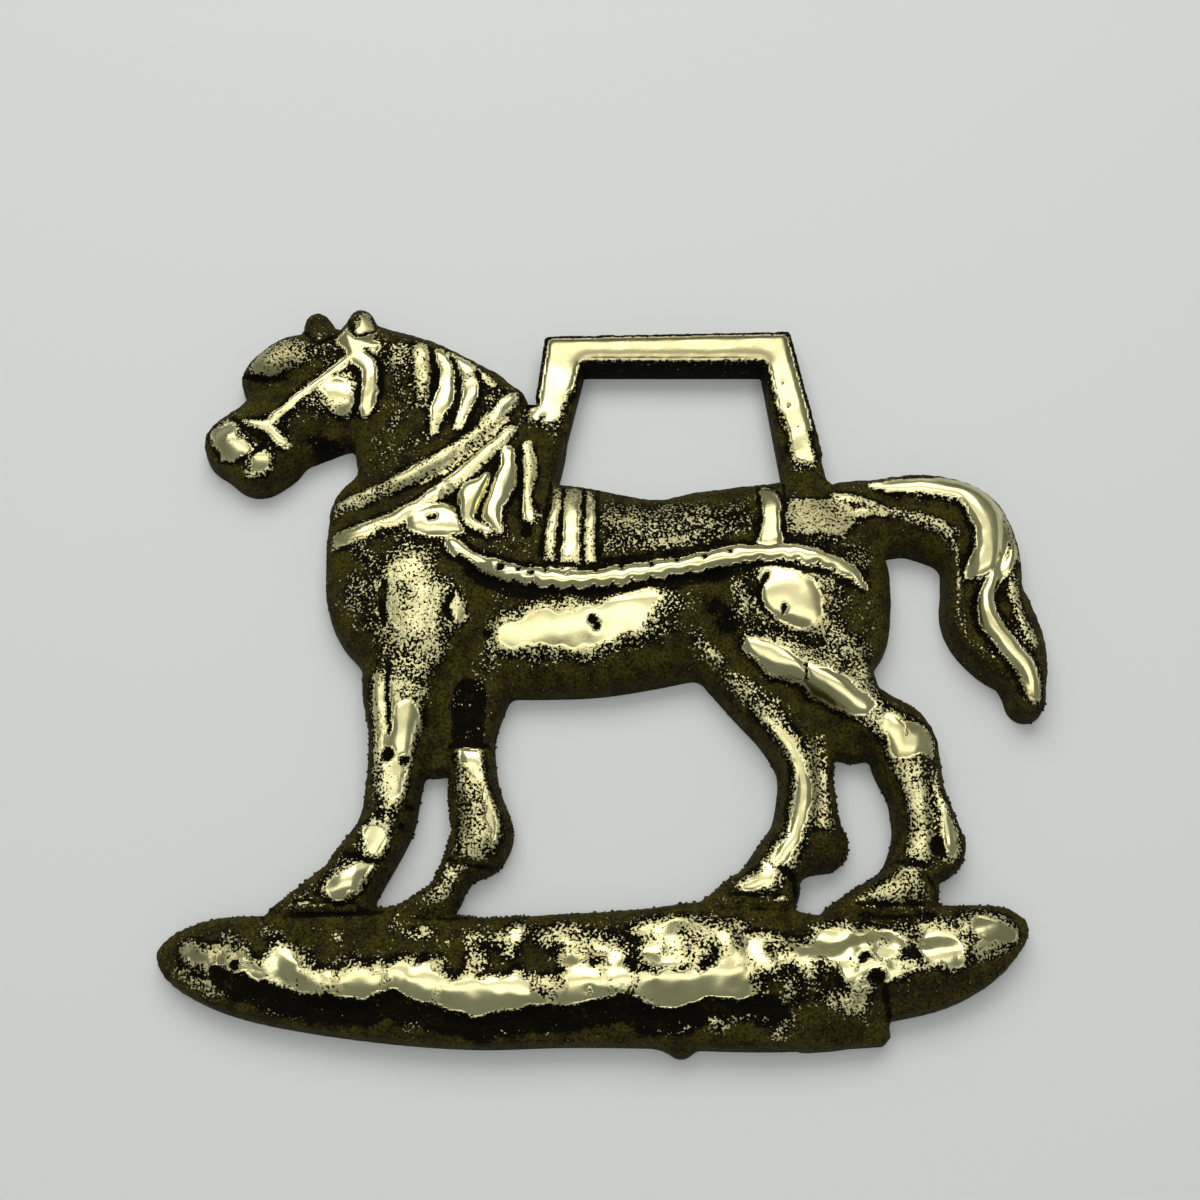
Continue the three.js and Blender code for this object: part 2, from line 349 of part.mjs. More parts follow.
/** Closed loops where the outline distance is zero, with the casting on their left. */
function traceLoops() {
  const columns = Math.ceil(98 / GRID);
  const rows = Math.ceil(88 / GRID);
  const origin = [-48.13, -50.87];
  const place = (c, r) => [origin[0] + c * GRID, origin[1] + r * GRID];
  const values = [];
  for (let r = 0; r <= rows; r += 1) {
    for (let c = 0; c <= columns; c += 1) values.push(outline(...place(c, r)));
  }
  const value = (c, r) => values[r * (columns + 1) + c];
  const crossing = (c0, r0, c1, r1) => {
    const t = value(c0, r0) / (value(c0, r0) - value(c1, r1));
    const [ax, ay] = place(c0, r0);
    const [bx, by] = place(c1, r1);
    const key = `${Math.min(c0, c1)},${Math.min(r0, r1)},${c0 === c1}`;
    return { key, point: [ax + (bx - ax) * t, ay + (by - ay) * t] };
  };
  const next = new Map();
  for (let r = 0; r < rows; r += 1) {
    for (let c = 0; c < columns; c += 1) {
      const corners = [[c, r], [c + 1, r], [c + 1, r + 1], [c, r + 1]];
      const solid = corners.map(([cc, rr]) => value(cc, rr) < 0);
      const starts = [];
      const ends = [];
      corners.forEach((corner, i) => {
        const other = (i + 1) % 4;
        if (solid[i] === solid[other]) return;
        const cut = crossing(...corner, ...corners[other]);
        (solid[i] ? starts : ends).push(cut);
      });
      starts.forEach((cut, i) => next.set(cut.key, { point: cut.point, to: ends[i].key }));
    }
  }
  const loops = [];
  while (next.size > 0) {
    let key = next.keys().next().value;
    const loop = [];
    while (next.has(key)) {
      const step = next.get(key);
      next.delete(key);
      loop.push(slideTo(step.point, 0));
      key = step.to;
    }
    loops.push(loop);
  }
  return loops;
}

/** Drops the points that a loop's shape doesn't need, and keeps its edges short. */
function thinLoop(loop) {
  const kept = [];
  const keepBetween = (from, to) => {
    const [ax, ay] = loop[from];
    const [bx, by] = loop[to % loop.length];
    const length = Math.hypot(bx - ax, by - ay);
    let worst = 0;
    let where = -1;
    for (let i = from + 1; i < to; i += 1) {
      const [x, y] = loop[i];
      const off = length > 1e-6 ? Math.abs((x - ax) * (by - ay) - (y - ay) * (bx - ax)) / length
        : Math.hypot(x - ax, y - ay);
      if (off > worst) {
        worst = off;
        where = i;
      }
    }
    if (where < 0) {
      kept.push(loop[from]);
    } else if (worst > OUTLINE_SLACK || length < 1e-6) {
      keepBetween(from, where);
      keepBetween(where, to);
    } else if (length > LONGEST_EDGE) {
      const middle = Math.round((from + to) / 2);
      keepBetween(from, middle);
      keepBetween(middle, to);
    } else {
      kept.push(loop[from]);
    }
  };
  keepBetween(0, loop.length);
  return kept;
}

const signedArea = (loop) => loop.reduce((sum, [x, y], i) => {
  const [nx, ny] = loop[(i + 1) % loop.length];
  return sum + (x * ny - nx * y) / 2;
}, 0);

// ---- a triangulation that keeps its outer edges -----------------------------------------------------
class Triangulation {
  constructor(loops) {
    this.points = loops.flat().map(([x, y]) => [x, y]);
    this.triangles = [];
    this.sideOf = new Map();
    const shapes = loops.map((loop) => loop.map(([x, y]) => new THREE.Vector2(x, y)));
    THREE.ShapeUtils.triangulateShape(shapes[0], shapes.slice(1)).forEach(([a, b, c]) => {
      this.add(this.turn(a, b, c) > 0 ? [a, b, c] : [a, c, b]);
    });
    [...this.triangles.keys()].forEach((t) => this.settle(t));
  }

  key(a, b) {
    return a * 65536 + b;
  }

  turn(a, b, c) {
    const [ax, ay] = this.points[a];
    const [bx, by] = this.points[b];
    const [cx, cy] = this.points[c];
    return (bx - ax) * (cy - ay) - (by - ay) * (cx - ax);
  }

  add(triangle, index = this.triangles.length) {
    this.triangles[index] = triangle;
    triangle.forEach((a, i) => this.sideOf.set(this.key(a, triangle[(i + 1) % 3]), index));
    return index;
  }

  remove(index) {
    const triangle = this.triangles[index];
    triangle.forEach((a, i) => this.sideOf.delete(this.key(a, triangle[(i + 1) % 3])));
  }

  apex(index, a, b) {
    return this.triangles[index].find((v) => v !== a && v !== b);
  }

  /** True when d lies inside the circle through a, b and c. */
  inCircle(a, b, c, d) {
    const [px, py] = this.points[d];
    const m = [a, b, c].map((i) => {
      const dx = this.points[i][0] - px;
      const dy = this.points[i][1] - py;
      return [dx, dy, dx * dx + dy * dy];
    });
    const det = m[0][0] * (m[1][1] * m[2][2] - m[1][2] * m[2][1])
      - m[0][1] * (m[1][0] * m[2][2] - m[1][2] * m[2][0])
      + m[0][2] * (m[1][0] * m[2][1] - m[1][1] * m[2][0]);
    return det > 1e-9;
  }

  /** Turns the edges of a triangle that make thin triangles. */
  settle(start) {
    const stack = this.triangles[start].map((a, i, t) => [a, t[(i + 1) % 3]]);
    while (stack.length > 0) {
      const [a, b] = stack.pop();
      const near = this.sideOf.get(this.key(a, b));
      const far = this.sideOf.get(this.key(b, a));
      if (near === undefined || far === undefined) continue;
      const c = this.apex(near, a, b);
      const d = this.apex(far, a, b);
      const convex = this.turn(c, a, d) > 1e-9 && this.turn(d, b, c) > 1e-9;
      if (!convex || !this.inCircle(a, b, c, d)) continue;
      this.remove(near);
      this.remove(far);
      this.add([c, a, d], near);
      this.add([d, b, c], far);
      stack.push([c, a], [a, d], [d, b], [b, c]);
    }
  }

  /** Adds a point inside the outline. */
  insert(x, y) {
    const index = this.points.length;
    this.points.push([x, y]);
    const holds = (t) => t.every((a, i) => this.turn(a, t[(i + 1) % 3], index) > 1e-7);
    const home = this.triangles.findIndex(holds);
    if (home < 0) {
      this.points.pop();
      return;
    }
    const [a, b, c] = this.triangles[home];
    this.remove(home);
    this.add([a, b, index], home);
    const second = this.add([b, c, index]);
    const third = this.add([c, a, index]);
    [home, second, third].forEach((t) => this.settle(t));
  }
}

/** Where the face's vertices go: on the carved lines first, then in the plain parts. */
function facePoints(taken) {
  const cell = 1.2;
  const buckets = new Map();
  const bucketOf = (x, y) => `${Math.floor(x / cell)},${Math.floor(y / cell)}`;
  const store = (x, y) => {
    const key = bucketOf(x, y);
    if (!buckets.has(key)) buckets.set(key, []);
    buckets.get(key).push([x, y]);
  };
  const isFree = (x, y, gap) => {
    for (let i = -1; i <= 1; i += 1) {
      for (let j = -1; j <= 1; j += 1) {
        const near = buckets.get(bucketOf(x + i * cell, y + j * cell)) ?? [];
        if (near.some(([px, py]) => Math.hypot(px - x, py - y) < gap)) return false;
      }
    }
    return true;
  };
  taken.forEach(([x, y]) => store(x, y));
  const chosen = [];
  const offer = (x, y, gap, shore) => {
    if (outline(x, y) > -shore || !isFree(x, y, gap)) return;
    store(x, y);
    chosen.push([x, y]);
  };
  const along = (stroke, side, spacing, gap) => {
    const curve = new THREE.CatmullRomCurve3(stroke.points.map(([x, y, r]) => new THREE.Vector3(x, y, r)));
    const count = Math.max(2, Math.round(curve.getLength() / spacing));
    curve.getSpacedPoints(count).forEach((p, i) => {
      const tangent = curve.getTangentAt(i / count);
      const size = Math.hypot(tangent.x, tangent.y) || 1;
      const across = (side * p.z) / size;
      offer(p.x - across * tangent.y, p.y + across * tangent.x, gap, SHOULDER + 0.35);
    });
  };
  raisedStrokes.forEach((stroke) => along(stroke, 0, 1.1, CARVED_SPACING));
  raisedStrokes.forEach((stroke) => {
    along(stroke, 1.1, 1.1, CARVED_SPACING);
    along(stroke, -1.1, 1.1, CARVED_SPACING);
  });
  const rowStep = (FACE_SPACING * Math.sqrt(3)) / 2;
  for (let row = 0; row * rowStep < 88; row += 1) {
    for (let column = 0; column * FACE_SPACING < 98; column += 1) {
      const x = -48.2 + (column + (row % 2) / 2) * FACE_SPACING + 0.011 * row;
      offer(x, -50.6 + row * rowStep, 0.72 * FACE_SPACING, SHOULDER + 0.5);
    }
  }
  return chosen;
}

// ---- the casting as one closed mesh ------------------------------------------------------------------
function castingGeometry() {
  const loops = traceLoops().map(thinLoop).sort((a, b) => Math.abs(signedArea(b)) - Math.abs(signedArea(a)));
  const onHanger = ([x, y]) => y > 16 && Math.abs(hangerDistance(x, y)) < 0.02;
  const foot = loops.flat();
  const waist = foot.map((p) => slideTo(p, onHanger(p) ? 0 : -WALL_LEAN));
  const shoulder = foot.map((p) => slideTo(slideTo(p, -SHOULDER / 2), onHanger(p) ? -0.3 : -SHOULDER));
  const rings = loops.map((loop, i) => {
    const start = loops.slice(0, i).reduce((sum, l) => sum + l.length, 0);
    return { start, count: loop.length };
  });

  const back = new Triangulation(loops);
  const face = new Triangulation(rings.map(({ start, count }) => shoulder.slice(start, start + count)));
  facePoints(shoulder).forEach(([x, y]) => face.insert(x, y));

  const count = foot.length;
  const vertices = [
    ...foot.map(([x, y]) => [x, y, 0]),
    ...waist.map(([x, y], i) => [x, y, onHanger(foot[i]) ? HANGER_HEIGHT - HANGER_BEVEL : WALL_TURN]),
    ...face.points.map(([x, y]) => [x, y, faceHeight(x, y)]),
  ];
  const triangles = back.triangles.map(([a, b, c]) => [a, c, b]);
  rings.forEach(({ start, count: size }) => {
    for (let i = 0; i < size; i += 1) {
      const here = start + i;
      const there = start + ((i + 1) % size);
      [0, count].forEach((row) => {
        triangles.push([row + here, row + there, row + count + there]);
        triangles.push([row + here, row + count + there, row + count + here]);
      });
    }
  });
  face.triangles.forEach(([a, b, c]) => triangles.push([a, b, c].map((v) => v + 2 * count)));

  const geometry = new THREE.BufferGeometry();
  geometry.setAttribute('position', new THREE.Float32BufferAttribute(vertices.flat(), 3));
  geometry.setIndex(triangles.flat());
  geometry.computeBoundingBox();
  const middle = geometry.boundingBox.getCenter(new THREE.Vector3());
  geometry.translate(-middle.x, -middle.y, 0);
  geometry.computeVertexNormals();
  return geometry;
}

// ---- the part ------------------------------------------------------------------------------------------
const brass = new THREE.MeshStandardMaterial({ color: 0x8a8353, metalness: 1, roughness: 0.38 });
const casting = new THREE.Mesh(castingGeometry(), brass);
casting.name = 'horse_brass';

const part = new THREE.Group();
part.add(casting);

export default part;
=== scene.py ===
"""Horse brass: a harness ornament sand-cast in one piece, seen lying on its flat back.

The casting is a relief. Its outline and its height are functions of x and y, drawn with brush
strokes. The masses that make the outline are the same as in the part's source; the raised work and
the swellings follow it nearly, and the finer work is only here. The face is meshed finely enough to
carry the harness, the mane, the tassels and the punched dots; Geometry Nodes add the sand grain and
the burrs; and a wear map, worked out from the relief, drives one aged-brass finish.
Lengths are in millimetres until a mesh is handed to Blender, which works in metres.
"""
import logging
import math
from dataclasses import dataclass, field
from enum import Enum

import bpy
import numpy as np
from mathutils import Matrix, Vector
from mathutils.geometry import delaunay_2d_cdt


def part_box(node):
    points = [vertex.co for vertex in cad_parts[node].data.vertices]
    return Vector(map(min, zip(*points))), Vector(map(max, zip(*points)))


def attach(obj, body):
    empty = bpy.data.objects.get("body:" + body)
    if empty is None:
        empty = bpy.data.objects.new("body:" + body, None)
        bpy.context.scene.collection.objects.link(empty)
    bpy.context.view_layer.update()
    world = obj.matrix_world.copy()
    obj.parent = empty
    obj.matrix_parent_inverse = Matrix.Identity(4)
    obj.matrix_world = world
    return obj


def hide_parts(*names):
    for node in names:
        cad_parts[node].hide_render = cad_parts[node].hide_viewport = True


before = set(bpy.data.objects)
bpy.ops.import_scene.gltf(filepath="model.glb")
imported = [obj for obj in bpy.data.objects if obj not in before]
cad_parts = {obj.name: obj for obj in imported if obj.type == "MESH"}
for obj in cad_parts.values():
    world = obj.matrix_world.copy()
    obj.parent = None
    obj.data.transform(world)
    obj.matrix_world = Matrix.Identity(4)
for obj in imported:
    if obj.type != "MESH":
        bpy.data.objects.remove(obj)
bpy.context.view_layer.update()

log = logging.getLogger("horse_brass")

MM = 0.001  # metres in a millimetre
PIT_SQUASH = 0.9  # scales a pit's y, so that it is a little longer that way
NODE = "horse_brass"  # the CAD solid that the casting stands for
BODY = "root"

Stations = list[list[float]]
Table = dict[str, Stations]
Patches = dict[str, tuple[float, float, Stations]]

# ---- masses of the casting: [x, y, half width, height of the crest] along each stroke ----------
MASSES: Table = {
    "chest": [[-23.9, 8.5, 6.5, 4.6], [-22.5, 4, 7.9, 5.4], [-21.6, -0.5, 8.2, 5.6], [-20, -4, 6.8, 5.2]],
    "barrel": [[-14, 0.5, 12, 5.4], [-6, 0.8, 12.3, 6], [-1, 0.5, 11.8, 6.1], [4, 0.4, 10.9, 6],
        [8, 0.8, 10.5, 5.9], [12, 1.3, 10.6, 5.7]],
    "haunch": [[13, 1.6, 10.7, 5.7], [17, 1.9, 11, 5.8], [20.6, 2.1, 11.2, 5.9]],
    "buttock": [[23.6, 0, 8.4, 5.4], [24.4, -3.4, 7.2, 5.3]],
    "neck": [[-16, 10.2, 10.8, 5], [-19.4, 19, 8.8, 5], [-23.7, 25.4, 6.6, 5], [-26.8, 28, 5.3, 5]],
    "crest": [[-25.2, 29.7, 2.9, 4.4], [-20.4, 28.9, 2.5, 4.4], [-17, 27.5, 2.2, 4.4],
        [-14.4, 26.2, 2, 4.4], [-12.6, 25.4, 1.9, 4.2]],
    "withers": [[-11.5, 16, 7, 4.8], [-9.6, 17.4, 5.4, 4.4]],
    "collar_top": [[-13, 22.5, 4.2, 4.8], [-10.6, 22.9, 2.5, 4.4]],
    "cheek": [[-28.5, 25.2, 6.6, 4.8], [-31.2, 24, 6.5, 5.2], [-34.3, 22.2, 5.8, 5]],
    "nose": [[-34.3, 22, 5.7, 5], [-37.6, 19.6, 4.9, 4.8], [-39.8, 18, 4.4, 4.6]],
    "muzzle": [[-40.6, 18.4, 3.8, 4.6], [-41.6, 18, 3.5, 4.5]],
    "chin": [[-37.6, 17, 4, 4.4], [-38.6, 15.8, 3.6, 4.3]],
    "brow": [[-33, 28, 4.2, 5.1], [-35.6, 28.4, 3.3, 5.2], [-38.3, 26.9, 2.6, 5], [-39.3, 26, 2.3, 4.6]],
    "far_ear": [[-32.4, 31, 2.2, 4.4], [-33, 33.1, 1.9, 4.2]],
    "near_ear": [[-28.1, 31, 2.6, 4.9], [-27.9, 33.5, 1.8, 4.7]],
    "near_fore": [[-20.3, -6, 5.4, 5.4], [-20.9, -10.5, 4.7, 5.1], [-21.2, -15, 3.5, 4.9],
        [-21.4, -19, 3.1, 4.7], [-21.7, -22, 2.9, 4.6], [-22.1, -25, 2.85, 4.6], [-23.3, -27.6, 2.9, 4.6],
        [-24.7, -29.8, 3.1, 4.7]],
    "near_fore_hoof": [[-25.8, -31.7, 3.2, 4.8], [-29.4, -33.1, 2, 4.3], [-33, -34.3, 0.7, 3.4]],
    "foreleg_web": [[-17.4, -15, 2.6, 2.9], [-17.3, -17.9, 2.3, 2.6]],
    "far_fore": [[-13, -8, 4.5, 4.6], [-13.2, -12, 3.2, 4.2], [-13.6, -16, 2.5, 4],
        [-13.4, -19.5, 2.5, 4.4], [-13.1, -22.5, 2.8, 4.5], [-12.2, -26, 3.2, 4.4],
        [-12.6, -27.6, 3.1, 4.3]],
    "far_fore_pastern": [[-13.4, -28, 2.4, 4.2], [-14.8, -30.3, 1.9, 3.9], [-15.8, -32.4, 1.7, 4.1]],
    "far_fore_hoof": [[-16.2, -32.8, 1.8, 4.2], [-20.6, -34.3, 0.7, 3.4]],
    "fore_lip": [[-31, -35.2, 1.1, 3.3], [-22, -35.1, 1.5, 3.5], [-13.5, -35.7, 1, 3.3]],
    "far_hind": [[14.6, -7, 4.6, 4.8], [17.2, -11.5, 3.7, 4.7], [19.7, -15, 3.3, 4.8],
        [21.4, -18.4, 3.1, 4.8], [21.6, -21, 2.9, 4.7], [21.5, -24, 3.2, 4.6], [21, -26.6, 3.4, 4.6],
        [19.2, -28.4, 2.9, 4.6], [17.5, -30.2, 2.6, 4.5]],
    "far_hind_feather": [[21.6, -26, 3.2, 4.2], [22.9, -27.4, 2.8, 3.4]],
    "far_hind_hoof": [[17.8, -32, 2.7, 4.7], [14.8, -32, 2, 4.3], [11.5, -33.3, 0.9, 3.4]],
    "near_hind": [[21.6, -5, 7.8, 5.6], [24.4, -8.8, 5, 5.5], [27.2, -13.1, 3.5, 5.2],
        [31.4, -16.1, 3.7, 5], [32.3, -19, 3.5, 4.8], [33, -22, 2.95, 4.7], [33.6, -25, 3.2, 4.7],
        [34.2, -27.6, 3.5, 4.5]],
    "thigh_web": [[24.2, -13, 5, 3.6], [26.8, -16.1, 2.5, 3]],
    "near_hind_pastern": [[33.5, -27.6, 3.2, 4.7], [32, -30, 2.7, 4.6], [31.5, -31.8, 3, 4.7]],
    "near_hind_hoof": [[31.3, -32.3, 3, 4.7], [27.6, -33, 1.9, 4.3], [23.5, -34.2, 0.7, 3.4]],
    "hind_lip": [[26.4, -35.6, 1, 3.3], [33.6, -35.2, 1.2, 3.3]],
    "tail": [[28, 9.2, 4.3, 4.7], [31, 9.2, 4.5, 4.3], [34, 9.6, 4.6, 4.3], [37.2, 9.4, 4.8, 4.6],
        [40.6, 8, 4.7, 4.9], [42.1, 4, 4.4, 4.6], [42, 0, 4.4, 4.5], [42.4, -3, 5, 4.6],
        [43.7, -5.8, 4.4, 4.7], [45, -8.2, 3.1, 4.7], [45.4, -10.6, 2.3, 4.6], [45.5, -12.2, 2, 4.3]],
    "tail_web": [[35.6, 7.6, 2.8, 3.4], [38.4, 5, 1.6, 3.2]],
    "plinth": [[-43.5, -38.5, 1.1, 2.8], [-41.2, -38.8, 3, 3.6], [-38, -39.1, 4.4, 4.3],
        [-34, -39.7, 5.15, 4.6], [-28, -40.4, 5.6, 4.8], [-20, -40.9, 6.1, 4.9], [-12, -41.1, 6.4, 5],
        [-4, -40.8, 6.5, 5], [4, -40.6, 6.75, 5.1], [12, -40.3, 7.35, 5.1], [18, -40.7, 7, 5],
        [22, -41.4, 6.1, 4.8]],
    "plinth_end": [[22, -40.1, 5.6, 4.8], [28, -39.5, 5.4, 4.8], [33, -38.7, 5.1, 4.7],
        [37, -37.6, 4.2, 4.5], [40, -36.4, 2.9, 4.1], [41.7, -35.9, 1.6, 3.4]],
    "plinth_drip": [[7, -45.5, 2, 3.2], [8, -47, 1.4, 2.8]],
}

# ---- harness, hair and muscle that stand above the masses: [x, y, half width, rise] ------------
RAISED: Table = {
    "cheek_strap": [[-28.3, 27.8, 0.55, 0.5], [-31.9, 24.3, 0.45, 0.45], [-35.2, 21.3, 0.5, 0.5],
        [-37.4, 19.1, 0.45, 0.4]],
    "noseband": [[-40, 19.5, 0.4, 0.4], [-37.3, 18.8, 0.6, 0.5], [-35.1, 16.8, 0.5, 0.4]],
    "throat_lash": [[-28.8, 29.8, 1, 0.5], [-27.7, 28.1, 1, 0.6], [-26.2, 26.2, 1, 0.6],
        [-25.9, 23.8, 0.9, 0.55], [-26.2, 22.2, 0.85, 0.45], [-26.6, 20.9, 0.6, 0.3]],
    "poll": [[-25.9, 29.1, 0.7, 0.45], [-28.7, 29.7, 1.2, 0.55], [-30.6, 32.5, 0.8, 0.4]],
    "collar_upper": [[-29.1, 9.2, 0.8, 0.7], [-24.6, 11, 0.85, 0.8], [-17.7, 14.7, 0.85, 0.8],
        [-13.7, 17.7, 0.85, 0.8], [-12.2, 19.7, 0.85, 0.75], [-10.6, 21.9, 0.7, 0.6],
        [-9.7, 23.1, 0.6, 0.4]],
    "collar_lower": [[-29.2, 5.1, 0.75, 0.6], [-24.4, 6.8, 0.8, 0.75], [-20.5, 8.8, 0.8, 0.75],
        [-15.6, 12.5, 0.8, 0.75], [-11.7, 16.5, 0.75, 0.7], [-9.8, 18.8, 0.6, 0.5]],
    "mane_1": [[-20.6, 28.7, 0.9, 0.7], [-19.9, 25.3, 1, 0.7], [-20.2, 21.5, 0.6, 0.4]],
    "mane_2": [[-18.5, 28.1, 0.95, 0.75], [-17.3, 25.6, 1.05, 0.75], [-17.4, 22.8, 1, 0.7],
        [-18.2, 20.8, 0.8, 0.6], [-18.6, 18.4, 0.5, 0.3]],
    "mane_3": [[-16.2, 27.2, 0.9, 0.7], [-14.9, 25.5, 1, 0.7], [-14.7, 22.9, 0.9, 0.65],
        [-15.3, 21, 0.75, 0.55], [-15.9, 18.8, 0.5, 0.3]],
    "tassel_1": [[-12.5, 12.6, 0.7, 0.5], [-14.0, 10.5, 1.5, 0.85], [-14.6, 8.7, 1.15, 0.75],
        [-13.9, 7.1, 0.55, 0.5], [-12.3, 6.0, 0.35, 0.35]],
    "tassel_2": [[-10.3, 15.8, 0.9, 0.5], [-10.2, 13.4, 1.15, 0.8], [-11.2, 10.5, 1.15, 0.85],
        [-11.9, 8.1, 0.95, 0.75], [-10.9, 6.0, 0.4, 0.4]],
    "tassel_3": [[-8.1, 16.9, 0.5, 0.4], [-7.7, 13.9, 0.65, 0.6], [-8.1, 10.9, 0.6, 0.55],
        [-7.8, 7.7, 0.5, 0.35]],
    "hook": [[-20.5, 7.0, 0.6, 0.5], [-19.6, 7.5, 1.5, 0.85], [-18.4, 7.5, 1.95, 0.9],
        [-16.6, 7.2, 1.95, 0.9], [-15.5, 6.4, 0.9, 0.7]],
    "trace": [[-16.1, 4.6, 0.7, 0.8], [-13.7, 2.6, 0.85, 0.85], [-11.0, 1.5, 0.95, 0.9],
        [-8.5, 0.8, 1.0, 0.9], [-5.9, 0.4, 1.0, 0.9], [-1.1, 0.1, 1.0, 0.9], [5.3, 1.2, 1.05, 0.9],
        [10.7, 2.1, 1.05, 0.9], [15.0, 3.1, 1.0, 0.9], [18.2, 3.3, 0.95, 0.85], [21.4, 3.2, 0.9, 0.8],
        [24.6, 2.4, 0.9, 0.75], [26.8, 1.2, 0.75, 0.65], [28.5, -0.5, 0.4, 0.4]],
    "girth": [[-4.7, 11.4, 0.55, 0.4], [-5.5, 2.1, 0.55, 0.4]],
    "pad": [[-2.9, 11.3, 0.95, 0.5], [-3.3, 2, 1, 0.5]],
    "loin_strap": [[18.3, 10.8, 1.0, 0.4], [18.6, 8.7, 1.2, 0.5], [18.4, 5.2, 1.25, 0.5]],
    "thigh_upper": [[16.2, -6.9, 1.1, 0.5], [19, -8.8, 1.5, 0.8], [21.3, -10.1, 0.9, 0.5]],
    "thigh_lower": [[21.7, -9.9, 1, 0.5], [24.4, -11.8, 1.6, 0.9], [27.4, -13.7, 1, 0.5]],
    "far_hind_shin": [[17.2, -15.1, 0.7, 0.4], [19.7, -18.6, 0.85, 0.55], [20.4, -22.5, 0.8, 0.5],
        [19.7, -26.5, 0.75, 0.45], [18.1, -29.7, 0.55, 0.3]],
    "far_fore_knee": [[-13.8, -18.4, 1.2, 0.4], [-12, -19.5, 1.1, 0.55], [-10.7, -24.4, 0.6, 0.4],
        [-10.5, -27.9, 0.55, 0.3]],
    "near_fore_knee": [[-20.2, -14, 1.2, 0.4], [-20, -16.1, 1.3, 0.5], [-20.4, -18, 1, 0.4]],
    "near_hind_hock": [[30.6, -16, 1, 0.4], [31, -18.1, 1, 0.4], [33.4, -17.1, 0.9, 0.4]],
    "near_hind_tendon": [[35.4, -23.2, 0.6, 0.35], [35.5, -25.7, 0.7, 0.4], [35.3, -27.8, 0.6, 0.3]],
    "tail_top": [[30.5, 12.3, 0.8, 0.5], [37.3, 11.9, 1.2, 0.7], [40.7, 10.7, 1.6, 0.85],
        [42.5, 7.6, 1.9, 0.85], [42.6, 4.5, 1.8, 0.85], [41.4, 2.7, 1.4, 0.7], [40.0, 1.4, 0.5, 0.4]],
    "tail_inner": [[30.5, 9.3, 0.5, 0.4], [34.4, 7.9, 0.7, 0.55], [37.4, 6.6, 0.7, 0.6],
        [38.4, 4.3, 0.7, 0.6], [38.2, -0, 0.7, 0.55], [37.8, -3.4, 0.65, 0.5], [39.1, -6, 0.6, 0.5],
        [42.3, -9, 0.5, 0.3]],
    "tail_lower": [[45.2, 4.7, 0.5, 0.4], [44.4, 2.8, 0.7, 0.6], [42.4, 0.6, 0.8, 0.7],
        [41.4, -1.2, 0.9, 0.75], [41.5, -3.5, 1.1, 0.8], [42.4, -5.7, 1.1, 0.85], [43.9, -7.8, 1.0, 0.8],
        [45.1, -10.0, 0.95, 0.75], [45.4, -12.1, 0.9, 0.6], [45.1, -13.3, 0.5, 0.4]],
    "tail_rim": [[45.1, 1.7, 0.5, 0.4], [44.5, -1.2, 0.55, 0.45], [45.1, -3.9, 0.55, 0.45],
        [46.1, -6.0, 0.5, 0.4]],
}


class Crown(Enum):
    """How the top of a raised stroke is rounded: its share of the rise, then two exponents."""

    SOFT = (0.75, 2, 0.9)
    DOMED = (0.8, 2.6, 0.7)
    FLAT = (0.7, 6, 0.8)

    def cap(self, across: np.ndarray) -> np.ndarray:
        """Height of the crown, from its middle line at 0 to its foot at 1."""
        share, roundness, steepness = self.value
        return share * (1 - np.clip(across, 0, 1) ** roundness) ** steepness


# raised work that isn't softly rounded
CROWNS = {"loin_strap": Crown.FLAT, "trace": Crown.DOMED, "hook": Crown.DOMED, "tassel_1": Crown.DOMED,
          "tassel_2": Crown.DOMED, "thigh_upper": Crown.DOMED, "thigh_lower": Crown.DOMED,
          "tail_top": Crown.DOMED, "tail_lower": Crown.DOMED}

